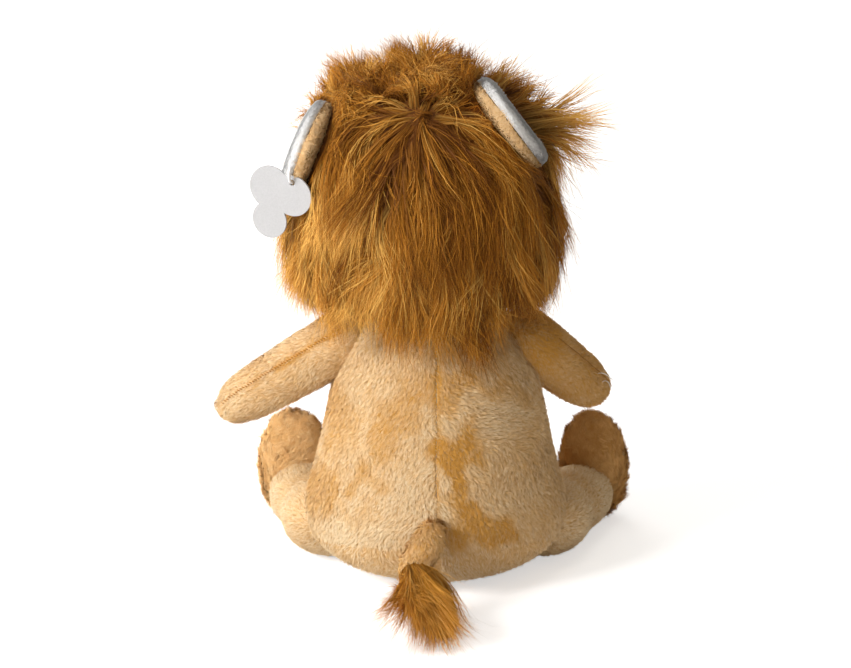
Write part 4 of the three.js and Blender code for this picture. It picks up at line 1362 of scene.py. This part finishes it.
def grow_guides(places, normals, seed):
    """Guide hairs as lines of points. Behind the crown's seam they run down from the whorl, before it they
    stand out round the face, and on the crown they stand up in tufts."""
    rng = np.random.default_rng(seed)
    count = len(places)
    seen = seen_from_behind(places)
    back = between(places[:, 1], 0.000, 0.010)[:, None]
    down = np.array((0, 0, -1.0))
    away = unit(places - WHORL)
    above = between(places[:, 2] * 0.94 - places[:, 1] * 0.342, 0.243, 0.250)[:, None]
    flow = unit(away + down * 0.55 * (1 - above))
    out = from_face(places)
    crown = between(out[:, 2], 0.45, 0.85)[:, None] * (1 - back)
    crown = np.maximum(crown, above * between(places[:, 2], 0.262, 0.270)[:, None])
    ruff = unit(out + np.array((0, -0.28, 0)) + down * 0.75 * (1 - crown) + np.array((0, 0.40, 0.25)) * crown)
    nap = unit(flow * back * (1 - crown) + ruff * (1 - back * (1 - crown)))
    nap -= normals * (nap * normals).sum(1, keepdims=True) * 0.7
    bend, fine = waves(places, 0.028, 201), waves(places, 0.010, 204)
    nap = unit(nap + 0.42 * bend + 0.30 * fine + 0.20 * rng.normal(size=(count, 3)))
    lift = 0.26 + 0.55 * crown + 0.10 * (1 - back)
    length = GUIDE_LENGTH + 0.005 * rng.normal(size=(count, 1)) + 0.006 * wave(places, 0.02, 207)[:, None]
    peaks = sum(np.exp(-(((seen[:, 0] - x) / w) ** 2)) * k for x, w, k in CROWN_PEAKS)[:, None]
    length = length * (1 - 0.735 * crown) * (1 - 0.12 * (1 - back)) * (1 + peaks * crown)
    lock_zone = in_long_lock(places) * between(places[:, 2], 0.21, 0.19) * back[:, 0]
    length = length + 0.016 * lock_zone[:, None]
    by_right_ear = between(-seen[:, :1], 39, 46) * crown
    length = length * (1 - 0.6 * by_right_ear)
    # The horn of hair beyond the right ear
    horn = soft_spot(seen, *HORN_PLACE, power=4)[:, None] * (1 - back)
    fan = np.clip((seen[:, 1] - 241) / 40, -0.4, 0.5)[:, None] * (0, 0, 1)
    horn_way = unit(np.array(HORN_WAY) + fan + 0.22 * rng.normal(size=(count, 3)))
    start = unit(nap * (1 - 0.5 * lift) + normals * lift)
    start = unit(start * (1 - horn) + horn_way * horn)
    length = length * (1 - horn) + (HORN_LENGTH + 0.008 * rng.normal(size=(count, 1))) * horn
    weight = 0.25 * (1 - 0.95 * crown) * (1 - 0.95 * horn)
    loose = 0.12 + 0.88 * np.maximum(horn, crown)
    low_down = np.full(count, -0.7)
    shift = 0.012 * rng.normal(size=(count, 3))  # so that neighbours wave differently
    for _ in range(4):  # each attempt shortens the hairs that hung below the hem
        paths, direction, spot = [places], start, places.copy()
        for step in range(STEPS):
            shake = 0.26 * (1 - 0.6 * horn) * waves(spot + shift, 0.013, 211)
            direction = unit(direction + down * weight * (0.5 + step / STEPS) + shake)
            by_ear = over_an_ear(spot[:, None], 1.25)
            inward = np.stack([-0.9 * np.sign(spot[:, 0] - 0.008), 0 * low_down, low_down], 1)
            direction = unit(direction + by_ear * inward * (1 - horn))
            spot = spot + direction * length / STEPS
            spot = kept_close(spot, 0.001 + 0.0022 * step / STEPS, 0.0032, loose[:, 0])
            spot = within_sides(spot, 1 - horn[:, 0])
            paths.append(spot)
        low, hem = spot[:, 2], hem_height(spot)
        fall = np.maximum(places[:, 2] - low, 0.001)
        length *= np.where(low < hem, np.clip((places[:, 2] - hem) / fall, 0.3, 1), 1)[:, None]
    return np.stack(paths, 1), horn[:, 0]


rng = np.random.default_rng(7)
GUIDES = 2400


def hair_roots(places, normals):
    """Where hair may grow: not on the lower edge's inside, and more of it behind, where it is seen."""
    lowest = 0.168 + 0.008 * between(places[:, 1], 0.0, 0.03)
    inside = (places[:, 1] < -0.030) & (normals[:, 1] > -0.2) & (np.abs(places[:, 0] - 0.005) < 0.045)
    return 1.0 * (places[:, 2] > lowest) * ~inside


guide_roots, guide_normals = scattered(under_skin, GUIDES, rng, hair_roots)
guides, horns = grow_guides(guide_roots, guide_normals, 11)

# %% [markdown]
# Fur never lies evenly: it gathers in locks. Each guide hair is drawn in to the middle of its lock, and
# each lock goes its own way a little and has its own shade.

# %% Locks
LOCKS = 330


def locked(paths, count, pull, rng):
    """Draws guide hairs together into thicker locks, and gives the number of each one's lock."""
    centres = rng.choice(len(paths), count, replace=False)
    lock = nearest(paths[:, 2], paths[centres, 2])
    along = np.linspace(0, 1, paths.shape[1])[None, :, None]
    middle = paths[centres[lock]]
    close = np.linalg.norm(middle[:, :1] - paths[:, :1], axis=2, keepdims=True) < 0.022
    # Each lock goes its own way, a little to one side and off the ones below it
    sideways = (rng.normal(size=(count, 3)) * (0.005, 0.0015, 0.003))[lock][:, None]
    outward = paths[:, 4:5] * (1, 1, 0) - np.array((0.0085, 0, 0))
    off = outward / np.maximum(np.linalg.norm(outward, axis=2, keepdims=True), 1e-6)
    off = off * np.abs(rng.normal(size=(count, 1)) * 0.0016)[lock][:, None]
    gathered_in = (middle - paths) * pull * along**0.8 * close + (sideways + off) * along**1.3
    return paths + gathered_in * (1 - horns)[:, None, None], lock


free_guides = guides
guides, guide_lock = locked(guides, LOCKS, 0.72, rng)
lock_tone = np.clip(0.24 * rng.normal(size=LOCKS), -0.36, 0.36)
print("guides:", guides.shape, "lowest", round(float(guides[..., 2].min()), 3))

# %% [markdown]
# More than fifty thousand hairs follow their nearest guide and draw in towards its tip. They end where
# they would cross an ear, and bend back where they would leave the object's box.

# %% Hairs that follow the guides
HAIR_STATIONS = 7  # points along each hair
HIGHEST, FURTHEST_BACK, FURTHEST_RIGHT, LOWEST = 0.3055, 0.136, 0.1235, 0.0008


def within_room(paths):
    """Bends hairs that would leave the object's box or dip into the floor back into it."""
    for axis, way, limit, knee in (
        (2, 1, HIGHEST, 0.018), (1, 1, FURTHEST_BACK, 0.012), (0, -1, FURTHEST_RIGHT, 0.012)
    ):
        over = np.maximum(paths[..., axis] * way - (limit - knee), 0)
        bent = (limit - knee * np.exp(-over / knee)) * way
        paths[..., axis] = np.where(over > 0, bent, paths[..., axis])
    paths[..., 2] = np.maximum(paths[..., 2], LOWEST)
    return paths


def hair(
    name, chosen, seed, body, material, roots, normals, guides, guide_tone,
    draw=0.72, width=0.0005, wild=0.05, tone=None, facing=None, under=None,
):
    """Hairs from the chosen roots, each drawn in to its nearest guide."""
    rng = np.random.default_rng(seed)
    roots, normals = roots[chosen], normals[chosen]
    lock = nearest(roots, guides[:, 0])
    path = guides[lock]
    count, stations = path.shape[:2]
    if under is not None:  # a fifth of the hairs keep out of the locks and cover the ground between them
        free = rng.random((count, 1, 1)) < 0.22
        path = np.where(free, path[:, :1] + (under[lock] - path[:, :1]) * 0.85, path)
    along = np.linspace(0, 1, stations)[None, :, None]
    apart = (roots - path[:, 0])[:, None]
    spread = np.linalg.norm(apart[:, 0], axis=1)
    stray = (rng.random(count) < wild)[:, None, None]
    pull = draw * (1 - np.exp(-3.2 * along)) * (1 - 0.8 * stray)
    aside = np.clip(rng.normal(size=(count, 1, 3)), -1.7, 1.7)
    own = aside * (0.0042 + 0.008 * stray) * along**1.5
    ripple = [wave(path + rng.normal(size=(count, 1, 3)) * 0.01, 0.012, 221 + k) for k in range(3)]
    ripple = 0.0017 * np.stack(ripple, -1) * along
    reach = 1 + 0.10 * rng.normal(size=(count, 1, 1)) * along + 0.12 * stray * along
    paths = path[:, :1] + (path - path[:, :1]) * reach + apart * (1 - pull) + own + ripple
    paths = within_room(paths)
    # A hair that would cross an ear ends before it, and one that starts there is left out
    hit = over_an_ear(paths)
    last = np.where(hit.any(1), hit.argmax(1) - 1, stations - 1)
    clear = last > 2
    kept = (roots, normals, lock, stray, paths, last, spread)
    roots, normals, lock, stray, paths, last, spread = [part[clear] for part in kept]
    count = len(paths)
    at = np.linspace(0, 1, HAIR_STATIONS) * last[:, None]
    before = np.minimum(at.astype(int), stations - 2)
    share = (at - before)[..., None]
    row = np.arange(count)[:, None]
    paths = paths[row, before] * (1 - share) + paths[row, before + 1] * share
    looks = unit(normals if facing is None else facing(roots, normals))
    facing_way = unit(looks + rng.normal(size=(count, 3)) * 0.45)
    shades = 0.57 + guide_tone[lock] + 0.15 * rng.normal(size=count)
    # Painted shade and highlight: hairs far from their guide, at a lock's edge, are darker than its middle
    shades = shades - 0.10 * np.clip(spread / 0.002, 0, 2)
    if tone is not None:
        shades = shades + tone(roots)
    widths = width * (1 + 0.2 * rng.normal(size=count)) * (1 - 0.4 * stray[:, 0, 0])
    return ribbons(name, paths, widths, facing_way, shades, material, body, 0.45, 1.3)


def mane_tone_and_light(places):
    """Lighter on the crown and darker in the middle and low down. Painted light on the horn, on the long lock
    and on the left side, which faces the lamp, and painted shade on the right.
    """
    seen = seen_from_behind(places)
    crown, low = soft_spot(seen, 8, 256, 45, 9), soft_spot(seen, 14, 158, 18, 12)
    # The horn beyond the right ear gets painted light
    horn, middle = soft_spot(seen, -56, 236, 12, 18), soft_spot(seen, 6, 204, 28, 32)
    # Painted light and shade: the left, which faces the lamp, is lighter and the right darker
    left = 0.38 * between(places[:, 0], -0.02, 0.07) - 0.10
    lock = np.exp(-(((places[:, 0] + 0.004) / 0.03) ** 4)) * between(places[:, 2], 0.215, 0.19)
    lock = lock * (places[:, 1] > 0.02)
    tone = 0.17 * wave(places, 0.014, 231) - 0.10 * middle + 0.12 * crown - 0.10 * low
    return tone + 0.3 * horn + left - 0.05 + 0.10 * lock


def towards_back(places, normals):
    """The ruff's hairs are seen from behind, so their flat sides look that way."""
    return normals * 0.6 + np.array((0, 0.8, 0.4))


HAIRS = 54000
roots, root_normals = scattered(under_skin, HAIRS, rng, hair_roots)
parts = {
    "mane_back_left": (roots[:, 1] > CROWN_SEAM) & (roots[:, 0] > 0.006),
    "mane_back_right": (roots[:, 1] > CROWN_SEAM) & (roots[:, 0] <= 0.006),
    "ruff_left": (roots[:, 1] <= CROWN_SEAM) & (roots[:, 0] > 0.006),
    "ruff_right": (roots[:, 1] <= CROWN_SEAM) & (roots[:, 0] <= 0.006),
}
# The horn's hairs get painted light
mane_shades = lock_tone[guide_lock] + 0.09 * rng.normal(size=len(guides)) + 0.6 * horns
wide_hair = 0.00047
for number, (name, chosen) in enumerate(parts.items()):
    hair(
        name, chosen, 240 + number, "head", MANE_HAIR, roots, root_normals, guides, mane_shades,
        tone=mane_tone_and_light, width=wide_hair, under=free_guides, wild=0.12 if name[0] == "r" else 0.06,
        facing=towards_back if name[0] == "r" else None,
    )

# %% [markdown]
# The tail is a flattened tube of plush that leaves the centre-back seam, droops and ends in a tuft of long
# hair that lies spread on the floor.

# %% Tail
TAIL_ROOT = joint_at["tail"]
TAIL_LINE = [
    (0, 0, 0), (0.0007, 0.0095, -0.0003), (0.0048, 0.0167, -0.006), (0.0105, 0.020, -0.015),
    (0.0135, 0.0275, -0.024),
]


def on_line(line, share):
    """A place on a line of points, and the way that the line runs there."""
    points = np.array(line, float)
    far = np.append(0, np.cumsum(np.linalg.norm(np.diff(points, axis=0), axis=1)))
    shares = (share - 0.04, share, share + 0.04)
    spots = [np.interp(s * far[-1], far, points[:, k]) for s in shares for k in range(3)]
    before, here, after = np.array(spots).reshape(3, 3)
    return here, unit(after - before)


tube_shares = [(0, 0), (0.04, 0.4), (0.15, 0.62), (0.32, 0.9), (0.5, 1), (0.85, 0.9), (0.96, 0.6), (1, 0)]
bm = turned(tube_shares, 0.0165, 0.009, 1, 0, 24, 30)
for vertex in bm.verts:
    here, way = on_line(TAIL_LINE, vertex.co.z)
    flat_way = unit(np.cross((0, 1.0, 0.4), way))
    other = unit(np.cross(way, flat_way))
    vertex.co = TAIL_ROOT + Vector(here + flat_way * vertex.co.x + other * vertex.co.y)
bmesh.ops.recalc_face_normals(bm, faces=bm.faces)
tail = object_of("tail_fabric", bm, TAN_BACKING)
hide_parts("tail_tube")
tail_skin = skin_of(tail)
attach(tail, "tail")
grow_pile(
    "tail_pile", tail_skin, 9000, limb_comb((0.2, 0.5, -0.8)), 0.0026, "tail", TAN_PILE,
    190, shade=lambda places: -0.3 + 0.08 * wave(places, 0.008, 65), size=0.0013,
)

# %% [markdown]
# The tuft hides a small backing. Its hair is grown like the mane's, but falls to the floor and spreads
# there.

# %% Tuft
TUFT_TOP = np.array(TAIL_ROOT) + np.array((0.0115, 0.019, -0.017))
TUFT_LEAN = math.radians(33)
tuft_at = Matrix.Translation(Vector(TUFT_TOP) + Vector((0, 0.004, -0.003)))
bm = moved(ball((0.0085, 0.008, 0.0065), 24, 16), tuft_at @ Matrix.Rotation(-TUFT_LEAN, 4, "X"))
tuft_core = object_of("tuft_backing", bm, MANE_BACKING)
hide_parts("tail_tuft")
tuft_skin = skin_of(tuft_core)
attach(tuft_core, "tail")

rng = np.random.default_rng(17)
TUFT_GUIDES = 170
tuft_roots, tuft_normals = scattered(tuft_skin, TUFT_GUIDES, rng)
TUFT_WAY = np.array((-0.50, 0.70, -0.56))
spread = np.minimum(tuft_normals, (0.3, 9, 9)) * (0.55, 0.2, 0.30)
direction = unit(spread + TUFT_WAY + 0.12 * rng.normal(size=tuft_roots.shape))
length = (1 - 0.25 * np.maximum(tuft_normals[:, :1], 0)) * 0.043
length = length + 0.008 * rng.normal(size=(len(tuft_roots), 1))
spot, tuft_paths = tuft_roots.copy(), [tuft_roots]
for step in range(STEPS):
    shake = waves(spot, 0.018, 251)
    direction = unit(direction + np.array((-0.08 * step / STEPS, 0, -0.04)) + 0.19 * shake)
    spot = spot + direction * length / STEPS
    floor_height = 0.0015 + 0.010 * np.exp(-((step - 3) ** 2) / 10) * rng.random(len(spot))
    spot[:, 2] = np.maximum(spot[:, 2], floor_height)
    tuft_paths.append(spot)
tuft_guides = np.stack(tuft_paths, 1)
TUFT_HAIRS = 7000
roots, root_normals = scattered(tuft_skin, TUFT_HAIRS, rng)
hair(
    "tail_tuft_hair", np.ones(TUFT_HAIRS, bool), 260, "tail", TUFT_HAIR, roots, root_normals,
    tuft_guides, 0.12 * rng.normal(size=len(tuft_guides)), 0.55, 0.0005, 0.05,
    facing=lambda places, normals: normals + np.array((0, 0.3, 0.9)),
)

# %% [markdown]
# The hang tag is a bare card of three round lobes on a small plastic loop. The lobes are discs joined in
# one outline, which is drawn as a closed line of edges, filled, given its thickness and bevelled.

# %% Tag and loop
TAG_ROOT = joint_at["tag"]
TAG_TURN = Matrix.Rotation(math.radians(-25), 4, "Z")
LOBES = [(0.0, 0.0, 0.0112), (0.01295, 0.0028, 0.0119), (0.013475, -0.01505, 0.009975)]  # across, up, radius
TAG_TOP = 0.0112 - 0.004
HOLE, THICK = 0.0016, 0.0012  # the hole's radius and the card's thickness
middle = np.mean([(x, z) for x, z, _ in LOBES], axis=0)
outline = []
for angle in np.linspace(0, math.tau, 160, endpoint=False):
    way = np.array((math.cos(angle), math.sin(angle)))
    reach = 0
    for x, z, radius in LOBES:
        off = np.array((x, z)) - middle
        ahead = off @ way
        inside = radius**2 - (off @ off - ahead**2)
        if inside > 0:
            reach = max(reach, ahead + math.sqrt(inside))
    outline.append(middle + way * reach)
bm = bmesh.new()
ring = [bm.verts.new((x, -THICK / 2, z - TAG_TOP)) for x, z in outline]
angles = np.linspace(0, math.tau, 24, endpoint=False)
hole = [bm.verts.new((HOLE * math.cos(a), -THICK / 2, HOLE * math.sin(a))) for a in angles]
for loop_of in (ring, hole):
    for a, b in zip(loop_of, loop_of[1:] + loop_of[:1]):
        bm.edges.new((a, b))
bmesh.ops.triangle_fill(bm, use_beauty=True, edges=bm.edges[:])
flat = bm.faces[:]
grown = bmesh.ops.extrude_face_region(bm, geom=flat)["geom"]
bmesh.ops.translate(bm, vec=(0, THICK, 0), verts=[v for v in grown if isinstance(v, bmesh.types.BMVert)])
bmesh.ops.recalc_face_normals(bm, faces=bm.faces)
rims = [e for e in bm.edges if len(e.link_faces) == 2 and e.calc_face_angle() > 1]
bmesh.ops.bevel(bm, geom=rims, offset=0.0002, segments=2, profile=0.5, affect="EDGES", material=-1)
moved(bm, Matrix.Translation(TAG_ROOT) @ TAG_TURN)
CARD = cloth_material("card_stock", (171, 171, 173), (178, 178, 180), 1200, 0.7, 0.05, 0.2)
tag = object_of("hang_tag_card", bm, CARD)
for polygon in tag.data.polygons:
    polygon.use_smooth = False
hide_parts("tag_card")
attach(tag, "tag")

LOOP_WIDTH, LOOP_HEIGHT, LOOP_WIRE = 0.0075, 0.010, 0.0015
loop_middle = TAG_ROOT + Vector((0, 0, LOOP_HEIGHT / 2))
ring_line = [
    Matrix.Translation(loop_middle) @ TAG_TURN
    @ Vector((0, LOOP_WIDTH / 2 * math.sin(a), LOOP_HEIGHT / 2 * math.cos(a)))
    for a in np.linspace(0, math.tau, 13)[:-1]
]
loop = strand_tube("tag_loop_ring", ring_line, LOOP_WIRE / 2, PLASTIC, closed=True, sides=3, steps=8)
loop.data.shade_smooth()
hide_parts("tag_loop")
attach(loop, "head")

# %% [markdown]
# Two ends of white sewing thread stick out of the right paw's seam.

# %% Stray threads
WHITE_THREAD = varied_material("white_thread", "Noise", 800, (225, 222, 214), (250, 249, 245), 0.6)
paw = joint_at["right_arm"] + Vector(ARM_ALONG["right"]).normalized() * 0.066
seam_out = Vector((-0.35, 0.75, 0.55)).normalized()
for number, (start, bend, end) in enumerate((
    ((0.000, 0.0, 0.0), (-0.003, 0.003, 0.003), (-0.009, 0.003, -0.001)),
    ((-0.003, 0.0, -0.004), (-0.006, 0.003, -0.002), (-0.008, 0.003, -0.006)),
)):
    base = paw + seam_out * 0.0155
    line = [base + Vector(start) - seam_out * 0.003, base + Vector(bend), base + Vector(end)]
    made = strand_tube("loose_thread_%d" % (number + 1), line, 0.00022, WHITE_THREAD)
    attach(made, "right_arm")
